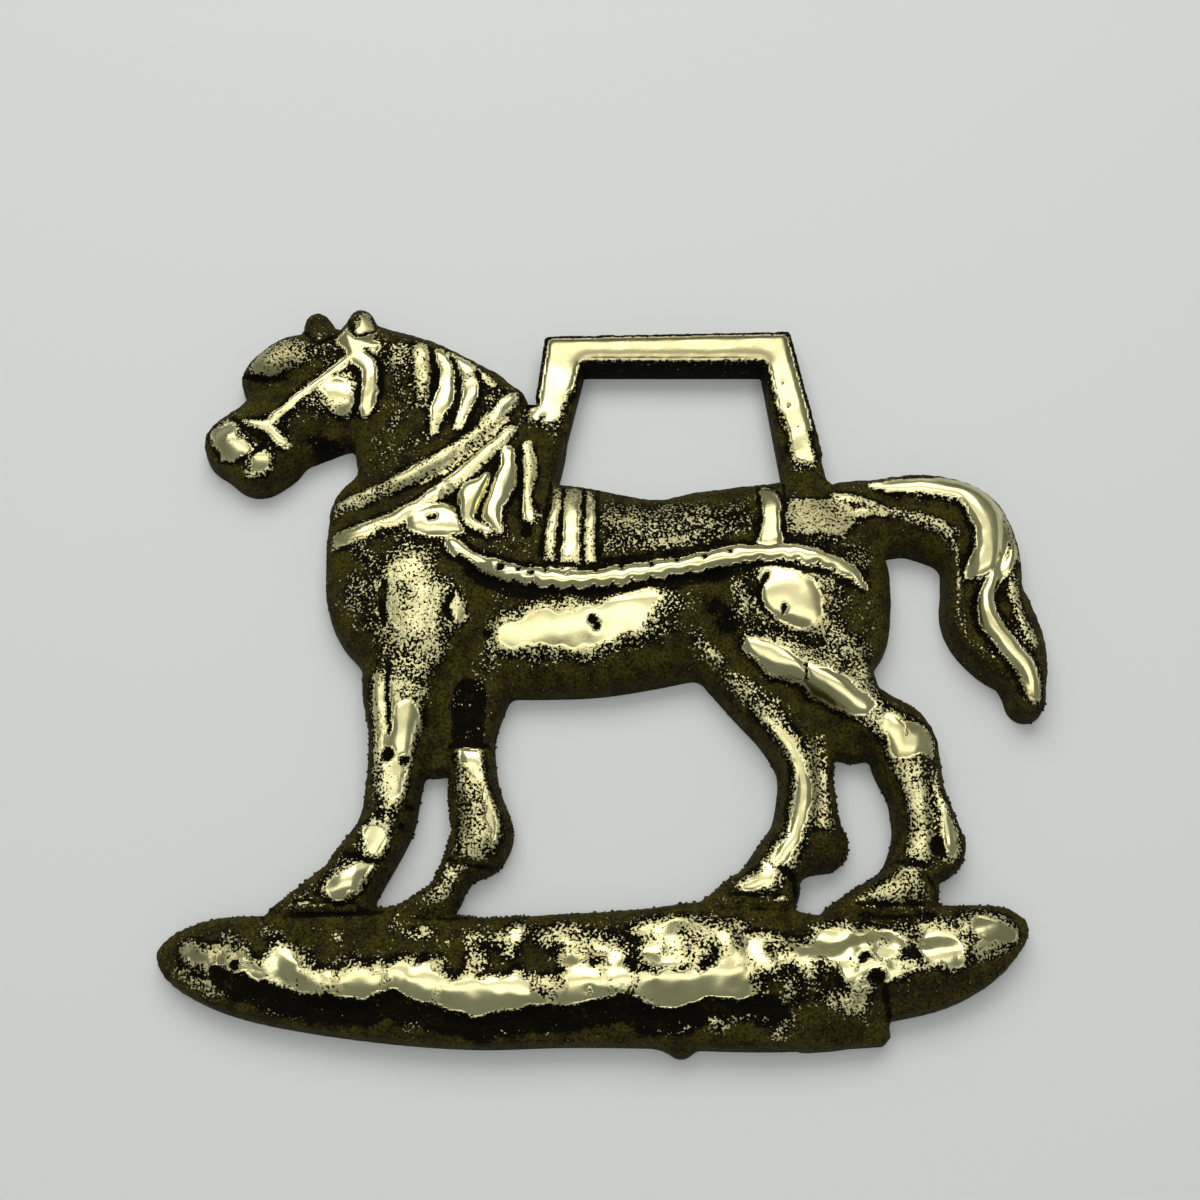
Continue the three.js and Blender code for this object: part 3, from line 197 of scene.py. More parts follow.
# ---- soft swellings, and soft hollows where the rise is negative --------------------------------
SWELLS: Table = {
    "shoulder": [[-20.1, 1.1, 4, 0.6], [-19.8, -2.3, 4.6, 0.8], [-19.4, -5.1, 3.4, 0.4]],
    "ribs": [[-9.8, -5.1, 3.6, 0.3], [-3.4, -3.9, 4.6, 0.4], [3.4, -1.8, 3.6, 0.3]],
    "croup": [[19.7, -1.2, 4.8, 0.6], [21, -2.2, 4.6, 0.6]],
    "jaw": [[-29.6, 23.2, 3.2, 0.6], [-29, 22.7, 3.2, 0.6]],
    "forelock": [[-37.5, 27, 2.9, 0.7], [-35.7, 28.2, 2.9, 0.7]],
    "nose_tip": [[-41.5, 17.2, 2.2, 0.6], [-40.4, 16.5, 2, 0.4]],
    "lip": [[-38, 15.5, 1.9, 0.4], [-37.7, 15.3, 1.9, 0.4]],
    "flank_knot": [[11.7, -8.2, 1.6, 0.5], [10.5, -9.8, 1.3, 0.4]],
    "fore_feather": [[-13, -23.1, 1.8, 0.2], [-12.2, -26.6, 2.4, 0.4]],
    "near_hoof": [[-25.1, -31.8, 2.2, 0.4], [-26.9, -32.5, 1.8, 0.3]],
    "hind_hoof": [[30.4, -31.7, 2.4, 0.4], [28.9, -32.5, 2, 0.3]],
    "far_hoof": [[16.1, -31.2, 2, 0.4], [14.6, -32.1, 1.6, 0.2]],
    "saddle_cloth": [[2, 6.8, 4.6, 0.35], [13.9, 7.5, 4.6, 0.35]],
    "brow_hollow": [[-40.7, 25.3, 1.4, -0.5], [-36.5, 24.7, 1.7, -0.7], [-33.8, 25.8, 1.7, -0.6]],
    "nose_hollow": [[-38.1, 22.9, 2, -0.5], [-37, 22.4, 2, -0.5]],
    "throat_hollow": [[-24.7, 28.1, 1.2, -0.5], [-24.1, 24.9, 1.6, -0.6], [-24.7, 20.5, 1.8, -0.6]],
    "jaw_hollow": [[-33.1, 17.9, 1.6, -0.6], [-29.9, 19.5, 1.6, -0.6], [-27.7, 20.3, 1.4, -0.6]],
    "collar_channel": [[-30, 8.1, 1.4, -0.5], [-19.7, 12.1, 1.5, -0.6], [-12.4, 18.1, 1.3, -0.5]],
    "tassel_gap": [[-11.8, 13.7, 0.4, -0.4], [-12.4, 11.4, 0.5, -0.6], [-13.1, 9.3, 0.5, -0.6],
        [-13.3, 7.9, 0.4, -0.4]],
    "tassel_pocket": [[-8.9, 15.8, 0.5, -0.4], [-8.9, 11.4, 0.6, -0.6], [-9.2, 8.4, 0.9, -0.6],
        [-9, 6.4, 1.2, -0.7]],
    "hook_pocket": [[-16.8, 10.9, 1.2, -0.7], [-15.9, 9.5, 1, -0.6]],
    "trace_shadow": [[-14.7, 1.9, 1.2, -0.3], [-8.8, -1.1, 1.2, -0.3], [-1.9, -1.4, 1.2, -0.3],
        [6.8, -0.5, 1.2, -0.3], [14.7, 1.1, 1.1, -0.3]],
    "elbow_hollow": [[-13, 2.1, 2, -0.5], [-13.2, -2.7, 2.2, -0.9], [-14.5, -7.4, 2.2, -0.9],
        [-16.6, -11, 2, -0.8]],
    "flank_hollow": [[12.8, 0.6, 1.8, -0.5], [12.4, -2.4, 2.4, -1], [13.2, -5.5, 2.2, -1],
        [15, -9, 1.6, -0.6]],
    "croup_hollow": [[16.6, 0.5, 1, -0.4], [16.3, -1.9, 1.1, -0.5], [17.3, -4, 1.2, -0.5]],
    "stifle_hollow": [[19, -4.9, 1.8, -0.6], [22.9, -6.7, 1.8, -0.6], [26.9, -9.5, 1.6, -0.5]],
    "thigh_hollow": [[16.8, -9.9, 1.6, -0.7], [20.9, -12, 1.8, -0.9], [24.8, -14.5, 1.8, -0.8]],
    "arm_hollow": [[-13.4, -11.3, 2.6, -0.5], [-13.7, -14.5, 2.4, -1.1], [-13.8, -16.7, 1.6, -0.5]],
    "hock_hollow": [[22.4, -16.8, 1, -0.4], [22.7, -21, 1.1, -0.5], [22.3, -25.3, 1.2, -0.4]],
    "tendon_hollow": [[34, -20.4, 1, -0.4], [33.9, -24.4, 1.1, -0.5], [34.1, -28.5, 1.4, -0.6]],
    "tail_trough": [[32.1, 10.1, 0.9, -0.4], [37.1, 9.4, 1, -0.6], [39.9, 7.5, 1.1, -0.7],
        [40, 4.4, 1.1, -0.6], [39.7, -1, 1.1, -0.6], [40, -5.1, 1, -0.5]],
    "tail_parting": [[44.1, 7.8, 0.8, -0.4], [43.9, 4.6, 0.9, -0.6], [43.1, -0.8, 1, -0.6],
        [43.9, -4.3, 0.9, -0.5]],
    "ridge": [[-40.5, -38.4, 2, 0.2], [-35.3, -39.2, 2.8, 0.6], [-32, -39.1, 3, 0.5],
        [-26.4, -40.9, 3.2, 0.8], [-20, -40.2, 3, 0.7], [-13.7, -41.9, 3.2, 0.8], [-8.8, -42.2, 3, 0.8],
        [-2.9, -41.4, 3, 0.7], [2.9, -41.3, 3, 0.8], [9.8, -40.3, 3.4, 0.8], [14.7, -39.9, 3.4, 0.7],
        [17.6, -41.2, 3, 0.8], [22.1, -39.5, 2.8, 0.6], [26.4, -40.1, 3.2, 0.8], [32.3, -39.7, 3, 0.8],
        [36.9, -37.5, 2.4, 0.5], [40.5, -36.2, 1.4, 0.2]],
    "bank_1": [[-29.6, -37.6, 1.8, -0.4], [-25.2, -38.2, 1.6, -0.3]],
    "bank_2": [[-21.3, -37.4, 1.8, -0.5], [-14.8, -37.8, 1.6, -0.4]],
    "bank_3": [[-6.9, -38.4, 2, -0.4], [0, -37.8, 1.8, -0.4]],
    "bank_4": [[19.4, -36.8, 1.8, -0.5], [23.1, -37.6, 1.8, -0.5]],
    "bank_5": [[32.2, -37, 1.6, -0.4], [34.9, -37, 1.6, -0.3]],
    "lump_1": [[-34.3, -37.9, 2, 0.3], [-33, -37.3, 1.6, 0.3]],
    "lump_2": [[7.8, -37.5, 2.4, 0.5], [12.2, -36.7, 2.4, 0.5]],
    "lump_3": [[26.1, -37.7, 2, 0.6], [29, -37.7, 2, 0.5]],
    "lump_4": [[37.7, -36.3, 1.8, 0.3], [39.2, -35.9, 1.5, 0.3]],
    "foot_1": [[-25.7, -44.1, 1.8, -0.4], [-20.8, -45.1, 2, -0.4]],
    "foot_2": [[-5.9, -45.3, 1.8, -0.4], [0, -45.3, 1.8, -0.3]],
    "foot_3": [[13.9, -45.3, 1.8, -0.4], [19.8, -45.1, 2, -0.4]],
}

# ---- finer raised work, too small for the solid ---------------------------------------------------
FINE_RAISED: Table = {
    "collar_centre": [[-19.7, 12.1, 0.25, 0.1], [-15.7, 14.6, 0.4, 0.3], [-13, 17.2, 0.4, 0.3],
        [-10.4, 20.2, 0.3, 0.2]],
    "girth_edge": [[-1.2, 11.2, 0.5, 0.4], [-0.9, 2.2, 0.55, 0.4]],
    "crest_rim": [[-17.1, 28.4, 0.5, 0.3], [-14.2, 26.3, 0.5, 0.35], [-12.1, 24.4, 0.4, 0.3]],
    "fore_sole": [[-30.8, -33.9, 0.3, 0.3], [-27.4, -34.2, 0.4, 0.4], [-24.2, -34.2, 0.3, 0.3]],
    "near_sole": [[25.1, -34.2, 0.3, 0.3], [28.7, -34.3, 0.35, 0.35], [32.4, -34.2, 0.3, 0.25]],
    "far_sole": [[11.7, -33.2, 0.3, 0.3], [14.8, -33.4, 0.35, 0.35], [18.5, -33.4, 0.3, 0.25]],
    "far_fore_sole": [[-20.4, -34.1, 0.25, 0.25], [-17.4, -34.8, 0.3, 0.3], [-14.8, -34.6, 0.25, 0.25]],
    "chin_ring": [[-39.5, 13.7, 0.3, 0.25], [-39.5, 12.9, 0.3, 0.3], [-38.7, 12.6, 0.3, 0.25],
        [-38.1, 13.2, 0.25, 0.2]],
    "hind_vein": [[23.3, -16.4, 0.35, 0.3], [23.6, -18.8, 0.4, 0.35], [23.1, -21.8, 0.35, 0.25]],
    "hock_edge": [[29.6, -15.1, 0.3, 0.2], [32, -16.1, 0.35, 0.35], [32.3, -18.4, 0.3, 0.25]],
    "fore_tendon": [[-23.6, -10.3, 0.4, 0.25], [-23.2, -14.2, 0.45, 0.3], [-23.3, -18.5, 0.4, 0.2]],
    "dock_1": [[26, 10.5, 0.5, 0.25], [28.3, 10.1, 0.5, 0.3], [30.2, 9.7, 0.4, 0.2]],
    "dock_2": [[26.7, 8.2, 0.4, 0.2], [29.3, 8.6, 0.45, 0.3], [31.2, 8.5, 0.35, 0.2]],
    "tail_hair_1": [[40.5, 10.4, 0.2, 0.15], [42.5, 7.3, 0.25, 0.2], [42.7, 4.7, 0.2, 0.15]],
    "tail_hair_3": [[41.7, 7.9, 0.17, 0.14], [41.9, 5.2, 0.2, 0.2], [40.9, 3.0, 0.15, 0.14]],
    "tail_hair_4": [[43.4, 7.3, 0.17, 0.14], [43.5, 4.9, 0.2, 0.2], [42.3, 2.8, 0.15, 0.14]],
    "tail_hair_2": [[41.5, -3.2, 0.2, 0.15], [42.9, -6.2, 0.25, 0.2], [44.3, -9.3, 0.2, 0.15]],
}

# ---- creases, seams and edges of straps: [x, y, half width, depth] --------------------------------
GROOVES: Table = {
    "girth_seam_1": [[-4.1, 11.8, 0.24, 0.5], [-4.5, 2.4, 0.24, 0.5]],
    "girth_seam_2": [[-1.8, 11.7, 0.24, 0.55], [-1.9, 5.6, 0.22, 0.45], [-1.9, 2.7, 0.16, 0.2]],
    "girth_front": [[-5.4, 13, 0.35, 0.45], [-6.4, 3, 0.35, 0.45]],
    "cloth_front": [[-0.3, 11.8, 0.3, 0.4], [-0.2, 2.7, 0.3, 0.35]],
    "cloth_back": [[17.5, 12, 0.28, 0.4], [17.4, 7.7, 0.28, 0.4], [17.1, 5, 0.25, 0.3]],
    "cloth_hem": [[0.2, 2.4, 0.28, 0.35], [7.8, 3.5, 0.28, 0.4], [13.7, 4.6, 0.28, 0.4],
        [17, 5.2, 0.25, 0.3]],
    "loin_seam": [[20.4, 12.3, 0.28, 0.5], [20.2, 7.7, 0.26, 0.5], [20, 5, 0.22, 0.3]],
    "mane_part_1": [[-19.4, 29.3, 0.35, 0.5], [-18.8, 25.8, 0.4, 0.6], [-19.1, 22.2, 0.3, 0.4]],
    "mane_part_2": [[-17, 27.8, 0.3, 0.5], [-16, 25.5, 0.35, 0.6], [-16.2, 22.9, 0.35, 0.5],
        [-16.9, 20.1, 0.3, 0.3]],
    "mane_part_3": [[-14.1, 26.1, 0.35, 0.45], [-13.5, 23.3, 0.4, 0.5], [-14, 20.8, 0.35, 0.3]],
    "tassel_part_1": [[-11.7, 13.7, 0.22, 0.45], [-12.2, 11.5, 0.26, 0.6], [-12.9, 9.6, 0.26, 0.5],
        [-13.4, 8.0, 0.24, 0.4]],
    "tassel_part_2": [[-9.1, 15.3, 0.24, 0.5], [-9.1, 11.9, 0.28, 0.55], [-9.9, 9.5, 0.3, 0.5]],
    "tassel_edge": [[-16.7, 10.1, 0.26, 0.4], [-15.8, 9.0, 0.3, 0.5], [-15.3, 7.5, 0.3, 0.45],
        [-14.2, 6.0, 0.26, 0.35], [-12.1, 4.9, 0.22, 0.3]],
    "trace_top": [[-15.9, 5.5, 0.2, 0.35], [-12.9, 3.6, 0.24, 0.45], [-8.6, 2.2, 0.24, 0.45],
        [-4.3, 1.8, 0.24, 0.45], [0.0, 1.9, 0.24, 0.4], [5.4, 2.8, 0.24, 0.4], [10.7, 4.0, 0.22, 0.4],
        [15.1, 4.7, 0.2, 0.35]],
    "trace_foot": [[-15.2, 3.1, 0.3, 0.5], [-12.8, 1.2, 0.36, 0.55], [-8.5, -0.7, 0.4, 0.6],
        [-4.2, -1.2, 0.4, 0.6], [0.0, -1.1, 0.4, 0.6], [5.3, -0.3, 0.4, 0.6], [10.7, 0.8, 0.4, 0.6],
        [15.0, 1.8, 0.36, 0.5], [20.3, 1.8, 0.32, 0.45], [24.6, 0.9, 0.3, 0.4]],
    "nose_seam": [[-41.3, 20.4, 0.3, 0.35], [-39.3, 18.5, 0.36, 0.5], [-37.6, 17.1, 0.36, 0.5],
        [-38.2, 16.1, 0.3, 0.3]],
    "nostril": [[-43.4, 16.5, 0.35, 0.35], [-42.7, 15.9, 0.4, 0.45]],
    "mouth": [[-42.9, 15.3, 0.28, 0.3], [-41, 14.9, 0.34, 0.45], [-39.5, 15.4, 0.28, 0.3]],
    "jaw_seam": [[-28.4, 26.8, 0.3, 0.35], [-27.4, 24.9, 0.35, 0.5], [-27.3, 22.8, 0.35, 0.45],
        [-27.7, 21.2, 0.3, 0.3]],
    "throat_seam": [[-26.7, 28.5, 0.3, 0.4], [-25.1, 26.7, 0.34, 0.5], [-24.9, 24.3, 0.34, 0.5],
        [-25.1, 21.7, 0.3, 0.3]],
    "brow_seam": [[-41.2, 26.1, 0.35, 0.4], [-38.8, 25.4, 0.4, 0.5], [-35.8, 25.4, 0.35, 0.4]],
    "ear_seam_near": [[-29.6, 34.7, 0.3, 0.4], [-28.7, 31.6, 0.35, 0.4], [-27.7, 30.5, 0.3, 0.3],
        [-26.2, 31.2, 0.3, 0.3]],
    "ear_seam_far": [[-34.3, 31.7, 0.35, 0.4], [-32.4, 29.8, 0.35, 0.45], [-30.9, 30.9, 0.35, 0.4]],
    "shoulder_crease_1": [[-23, -0.1, 0.35, 0.3], [-23.3, -2.6, 0.4, 0.35], [-22.8, -4.6, 0.3, 0.2]],
    "shoulder_crease_2": [[-15.9, -1.4, 0.35, 0.3], [-16.3, -2.8, 0.4, 0.4], [-15.7, -4.1, 0.3, 0.25]],
    "croup_crease": [[17.5, 0.6, 0.3, 0.35], [16.8, -0.9, 0.35, 0.45], [17.3, -2.8, 0.3, 0.35],
        [18.4, -3.9, 0.25, 0.2]],
    "thigh_nick": [[21.5, -9.3, 0.3, 0.4], [21.8, -10.6, 0.3, 0.35]],
    "fore_crease": [[-22.3, -8.8, 0.3, 0.25], [-22.1, -13.3, 0.32, 0.35], [-21.9, -16.6, 0.28, 0.2]],
    "fetlock_near": [[-25.8, -28.7, 0.28, 0.3], [-24, -29.3, 0.32, 0.4], [-22, -29.5, 0.3, 0.35]],
    "fetlock_far": [[-15.5, -29.2, 0.3, 0.35], [-13.1, -29.8, 0.35, 0.45], [-11, -30, 0.35, 0.4]],
    "fore_coronet": [[-30.7, -33.4, 0.24, 0.35], [-27.4, -33.6, 0.28, 0.5], [-24.3, -33.6, 0.24, 0.4]],
    "near_coronet": [[25.7, -33.7, 0.24, 0.35], [28.6, -33.8, 0.26, 0.45], [32.6, -33.7, 0.24, 0.3]],
    "far_coronet": [[12.3, -32.6, 0.22, 0.3], [15.2, -32.9, 0.26, 0.45], [18.5, -32.8, 0.24, 0.3]],
    "far_foot_seam": [[18.3, -30.1, 0.35, 0.4], [19.4, -31.3, 0.4, 0.45], [19.6, -32.8, 0.35, 0.4]],
    "near_foot_seam": [[28.2, -30.2, 0.25, 0.25], [30.3, -29.5, 0.3, 0.35], [32.5, -30, 0.35, 0.4]],
    "heel_near": [[32.7, -31, 0.4, 0.45], [33.6, -32.2, 0.4, 0.5], [34.1, -33.6, 0.4, 0.4]],
    "foot_line_1": [[-33.7, -34.9, 0.35, 0.4], [-27.8, -34.7, 0.35, 0.45], [-21.8, -34.5, 0.35, 0.4]],
    "foot_line_2": [[-19.7, -35, 0.3, 0.3], [-15.9, -35.1, 0.35, 0.4], [-13.3, -35, 0.3, 0.3]],
    "foot_line_3": [[12.1, -34, 0.25, 0.25], [15.9, -34.2, 0.3, 0.35], [19.5, -34.1, 0.3, 0.35]],
    "foot_line_4": [[25, -34.8, 0.25, 0.25], [28.7, -35, 0.3, 0.35], [33.3, -34.8, 0.3, 0.35]],
    "knee_shelf": [[-15.7, -17.4, 0.4, 0.45], [-13.5, -17.3, 0.45, 0.5], [-11.5, -17.5, 0.4, 0.4]],
    "plinth_crack": [[27.7, -41.8, 0.4, 0.4], [28.3, -44.6, 0.45, 0.5]],
    "under_crest": [[-37.7, -40.3, 0.8, 0.4], [-34.2, -42.0, 1.0, 0.5], [-29.5, -43.4, 1.1, 0.6],
        [-26.3, -43.6, 1.1, 0.6], [-23.0, -43.8, 1.1, 0.6], [-20.4, -43.2, 1.1, 0.6],
        [-18.5, -43.8, 1.1, 0.6], [-14.5, -44.8, 1.1, 0.6], [-11.3, -45.3, 1.1, 0.6],
        [-9.4, -44.8, 1.1, 0.6], [-5.5, -44.6, 1.1, 0.6], [-1.7, -44.1, 1.1, 0.6], [2.2, -43.6, 1.1, 0.6],
        [4.9, -44.6, 1.1, 0.6], [7.0, -44.8, 1.1, 0.6], [10.2, -43.8, 1.0, 0.5], [13.6, -43.5, 0.9, 0.5],
        [17.0, -43.9, 0.7, 0.4]],
    "tail_part": [[41, 0.1, 0.25, 0.3], [40, -2.1, 0.3, 0.4], [40.4, -4.9, 0.3, 0.35],
        [42, -7.4, 0.25, 0.25]],
}

# ---- punched dots and casting pits: [x, y, radius, depth] -----------------------------------------
PITS: Stations = [
    [-13.7, 3.9, 0.4, 0.4], [-10.7, 1.6, 0.5, 0.4], [-8.7, 1.2, 0.36, 0.35],
    [-7.3, 0.6, 0.34, 0.35], [-6, 1.1, 0.32, 0.3],
    [-3.3, 0.7, 0.3, 0.25], [-0.4, 0.9, 0.32, 0.35], [2.3, 1.3, 0.34, 0.35],
    [5.5, 1.8, 0.34, 0.35], [8.2, 2.3, 0.34, 0.35],
    [11.3, 2.6, 0.38, 0.4], [14, 3.3, 0.34, 0.35], [-0.9, -4.4, 0.5, 0.5],
    [-0.4, -5.0, 0.42, 0.4], [19.5, -2.9, 0.4, 0.45],
    [19.4, -3.2, 0.3, 0.3], [17.8, 0.7, 0.45, 0.45], [17.5, 0.3, 0.35, 0.35],
    [-12.1, -5.6, 0.6, 0.3], [-18.6, 7.5, 0.4, 0.7],
    [-18.0, 7.7, 0.36, 0.7], [-6.5, 20.7, 0.5, 0.3], [-6.9, 19.9, 0.45, 0.3],
    [20.9, 25, 0.24, 0.2], [22.3, 19.5, 0.24, 0.2],
    [21.5, 22, 0.28, 0.2], [-21.8, -18.5, 0.7, 0.35], [-20.3, -19.2, 0.6, 0.3],
    [-19.7, -23.7, 0.6, 0.35], [-20.3, -25.9, 0.5, 0.3],
    [34.1, -27.8, 0.8, 0.5], [-35.7, -39.7, 0.5, 0.3], [-17.2, -38.9, 0.6, 0.3],
    [-1, -42.1, 0.6, 0.3], [3.1, -39.5, 0.5, 0.3],
    [10.3, -39.8, 0.5, 0.25], [26.8, -40.9, 0.9, 0.4], [25.8, -39.1, 0.5, 0.3], [-8, 6, 0.9, 0.5],
]

# ---- where hands and polish have rubbed the brass bright: fade, strength, then [x, y, half width] ---
SHINE: Patches = {
    "forelock": (1.6, 0.72, [[-38.1, 26.4, 1.2], [-36.2, 27.8, 1.4]]),
    "ear": (0.5, 0.9, [[-27.1, 30.8, 1.1], [-27, 32.9, 0.9]]),
    "far_ear": (1.2, 0.4, [[-31.7, 30.2, 0.6], [-31.4, 29.5, 0.6]]),
    "poll": (0.5, 0.9, [[-30, 31.1, 0.7], [-28.4, 29.6, 1.2], [-26.3, 29.1, 0.7]]),
    "jaw": (1.5, 0.86, [[-29.9, 23.4, 1.2], [-29.1, 22.1, 1.3]]),
    "muzzle": (0.7, 0.93, [[-42.3, 18.2, 1.3], [-41.4, 16.4, 1.3], [-40.0, 16.3, 0.8]]),
    "lip": (0.6, 0.86, [[-37.5, 15.2, 0.6], [-38.0, 13.7, 0.8], [-38.7, 12.8, 0.4]]),
    "nape": (1.6, 0.5, [[-24, 28.6, 0.4], [-23.8, 25.7, 0.5], [-24, 22.3, 0.3]]),
    "neck": (2.6, 0.3, [[-19, 22.5, 0.8], [-18.6, 19.6, 0.8]]),
    "shoulder": (2.4, 0.78, [[-20.4, 0.8, 1.6], [-20, -2.1, 2.8], [-19.1, -4.4, 1.6]]),
    "elbow": (1.4, 0.9, [[-15.3, -2.1, 0.4], [-15.1, -3.5, 0.5]]),
    "ribs": (1.9, 1.04, [[-10.2, -6.0, 0.4], [-5.8, -5.3, 1.3], [-1.1, -4.9, 1.6], [3.0, -3.2, 1.3],
        [4.8, -1.7, 0.6]]),
    "croup": (2.2, 1.06, [[19.6, -1.3, 2.4], [21.2, -2.4, 2.2]]),
    "croup_front": (1, 0.9, [[17.9, 0.9, 0.6], [17.2, 0.3, 0.4]]),
    "thigh_upper": (1.5, 1.0, [[16.5, -6.9, 0.5], [19, -8.6, 1.1], [21.2, -9.9, 0.6]]),
    "thigh_lower": (1.5, 1.05, [[22, -10.1, 0.7], [24.5, -11.7, 1.3], [27.6, -13.6, 0.5]]),
    "stifle": (2.4, 0.5, [[18.6, -6.1, 0.6], [25.1, -7.9, 1], [28.1, -10.4, 0.6]]),
    "flank": (1, 0.62, [[12, -8, 0.6], [11, -9.9, 0.3]]),
    "cloth": (1.3, 0.22, [[2, 6.5, 3], [6.8, 6.2, 2.8], [14.6, 7.3, 2.2]]),
    "cloth_hem": (1, 0.55, [[0.6, 3.9, 0.6], [7.8, 4.3, 0.5], [14.6, 5.5, 0.5]]),
    "rump": (0.3, 0.8, [[22.0, 7.8, 2.1], [25.6, 8.0, 2.2]]),
    "loin": (0.3, 1.0, [[18.3, 10.3, 0.9], [18.6, 8.7, 1.15], [18.4, 4.6, 1.2]]),
    "fore_shin": (1.5, 0.86, [[-22.4, -11.4, 0.5], [-22.2, -14.7, 0.7], [-21.2, -18.6, 0.9],
        [-21, -22.1, 0.7]]),
    "fore_knee": (0.7, 1.0, [[-19.9, -14.1, 0.8], [-20, -17.2, 0.9]]),
    "fore_arm": (1.6, 0.5, [[-19.2, -8.9, 1.6], [-19.6, -12.2, 1.6]]),
    "fore_fetlock": (0.8, 1.0, [[-22.8, -27, 0.8], [-21.7, -28.5, 0.6]]),
    "fore_hoof": (0.7, 1.0, [[-23.8, -31, 1.1], [-26.3, -32.4, 0.8]]),
    "far_knee": (0.9, 1.0, [[-14, -18.5, 0.7], [-12.4, -19.7, 0.8], [-11.4, -22.8, 0.5],
        [-10.7, -26.4, 0.4]]),
    "far_shin": (1.4, 0.62, [[-13.4, -22.1, 1], [-12.6, -26.9, 1.5]]),
    "far_foot": (1, 0.6, [[-14.8, -31.1, 0.8], [-16.4, -32.7, 0.7]]),
    "far_thigh": (1.6, 0.56, [[14.2, -11, 0.4], [16.5, -13.8, 0.7]]),
    "far_hock": (1, 0.95, [[17, -15.1, 0.3], [19.3, -17.8, 0.6], [20.5, -21.5, 0.6], [20.1, -26, 0.6],
        [18.3, -29.2, 0.7]]),
    "far_vein": (1.2, 0.6, [[22.7, -17.1, 0.4], [22.9, -20.4, 0.4], [22.3, -25.4, 0.5]]),
    "far_hoof": (0.6, 0.98, [[16.3, -30.9, 1], [14.4, -32, 0.6]]),
    "near_hock": (1, 1.0, [[30.3, -15.4, 0.7], [30.9, -17.7, 0.8]]),
    "near_point": (0.9, 0.98, [[32.8, -16, 0.8], [33.7, -17.6, 0.6]]),
    "near_shin": (1.4, 0.66, [[31.5, -20.2, 1], [32.2, -24.5, 1.1], [32.2, -28.4, 0.9]]),
    "near_tendon": (0.8, 0.9, [[35, -21, 0.3], [35.5, -25.7, 0.5], [35.5, -28.7, 0.4]]),
    "near_hoof": (0.9, 0.72, [[30.2, -31.4, 1.3], [28.1, -32.6, 0.6]]),
    "tail_edge": (0.5, 0.95, [[38.3, 12.5, 0.6], [41.5, 11.6, 0.7], [44.1, 9.2, 0.8], [45.2, 6.1, 0.8],
        [45.6, 4.0, 0.6]]),
    "crest_left": (0.7, 0.85, [[-41.5, -38.1, 0.4], [-38.8, -38.5, 0.8], [-35.3, -39.4, 0.9]]),
    "crest_mid": (0.9, 0.97, [[-36.6, -39.0, 0.7], [-32.9, -40.1, 0.9], [-28.1, -41.2, 1.0],
        [-23.0, -41.6, 1.2], [-20.4, -40.9, 1.2], [-16.5, -42.0, 1.3], [-11.3, -42.9, 1.4],
        [-6.8, -42.3, 1.3], [-1.6, -41.8, 1.3], [2.2, -41.4, 1.3], [5.8, -42.3, 1.3], [9.7, -41.6, 1.4],
        [13.1, -41.2, 1.2]]),
    "front_slope": (0.8, 0.3, [[-24, -45.6, 0.6], [-12, -46.4, 0.6], [0, -46, 0.6], [12, -46, 0.8],
        [21, -45.6, 0.8]]),
    "bank": (1.3, 0.6, [[-19.1, -37.6, 1.0], [-15.7, -38.3, 1.2]]),
    "bank_2": (1.4, 0.66, [[-7.8, -37.9, 1.2], [-2.5, -37.6, 1.4]]),
    "bank_3": (1.6, 0.85, [[2.0, -38.3, 1.6], [7.8, -37.6, 2.0], [11.7, -38.3, 1.6]]),
    "crest_right_1": (1.6, 0.98, [[22.4, -37.7, 0.9], [28.2, -37.6, 1]]),
    "crest_right_2": (1.4, 0.92, [[25.4, -41.1, 0.8], [29.7, -39.7, 0.9]]),
    "crest_right_3": (1.6, 1.0, [[32.7, -37.9, 1.1], [34.8, -38.9, 0.8]]),
    "crest_tip": (1.4, 0.85, [[37.7, -36.1, 0.9], [40.4, -36.5, 0.7]]),
    "hanger_top": (0.5, 1.12, [[-5, 29.4, 1.9], [8, 29.8, 2], [20.8, 29.6, 1.9]]),
    "hanger_left": (0.8, 1.12, [[-4, 29, 1.9], [-6.2, 21.6, 1.5]]),
    "hanger_right": (0.8, 1.08, [[20.8, 29, 1.9], [23.4, 16.6, 1.4]]),
}

# rubbed patches that reach right to the outline
WORN_EDGES = ("tail_edge", "ear", "forelock", "muzzle")

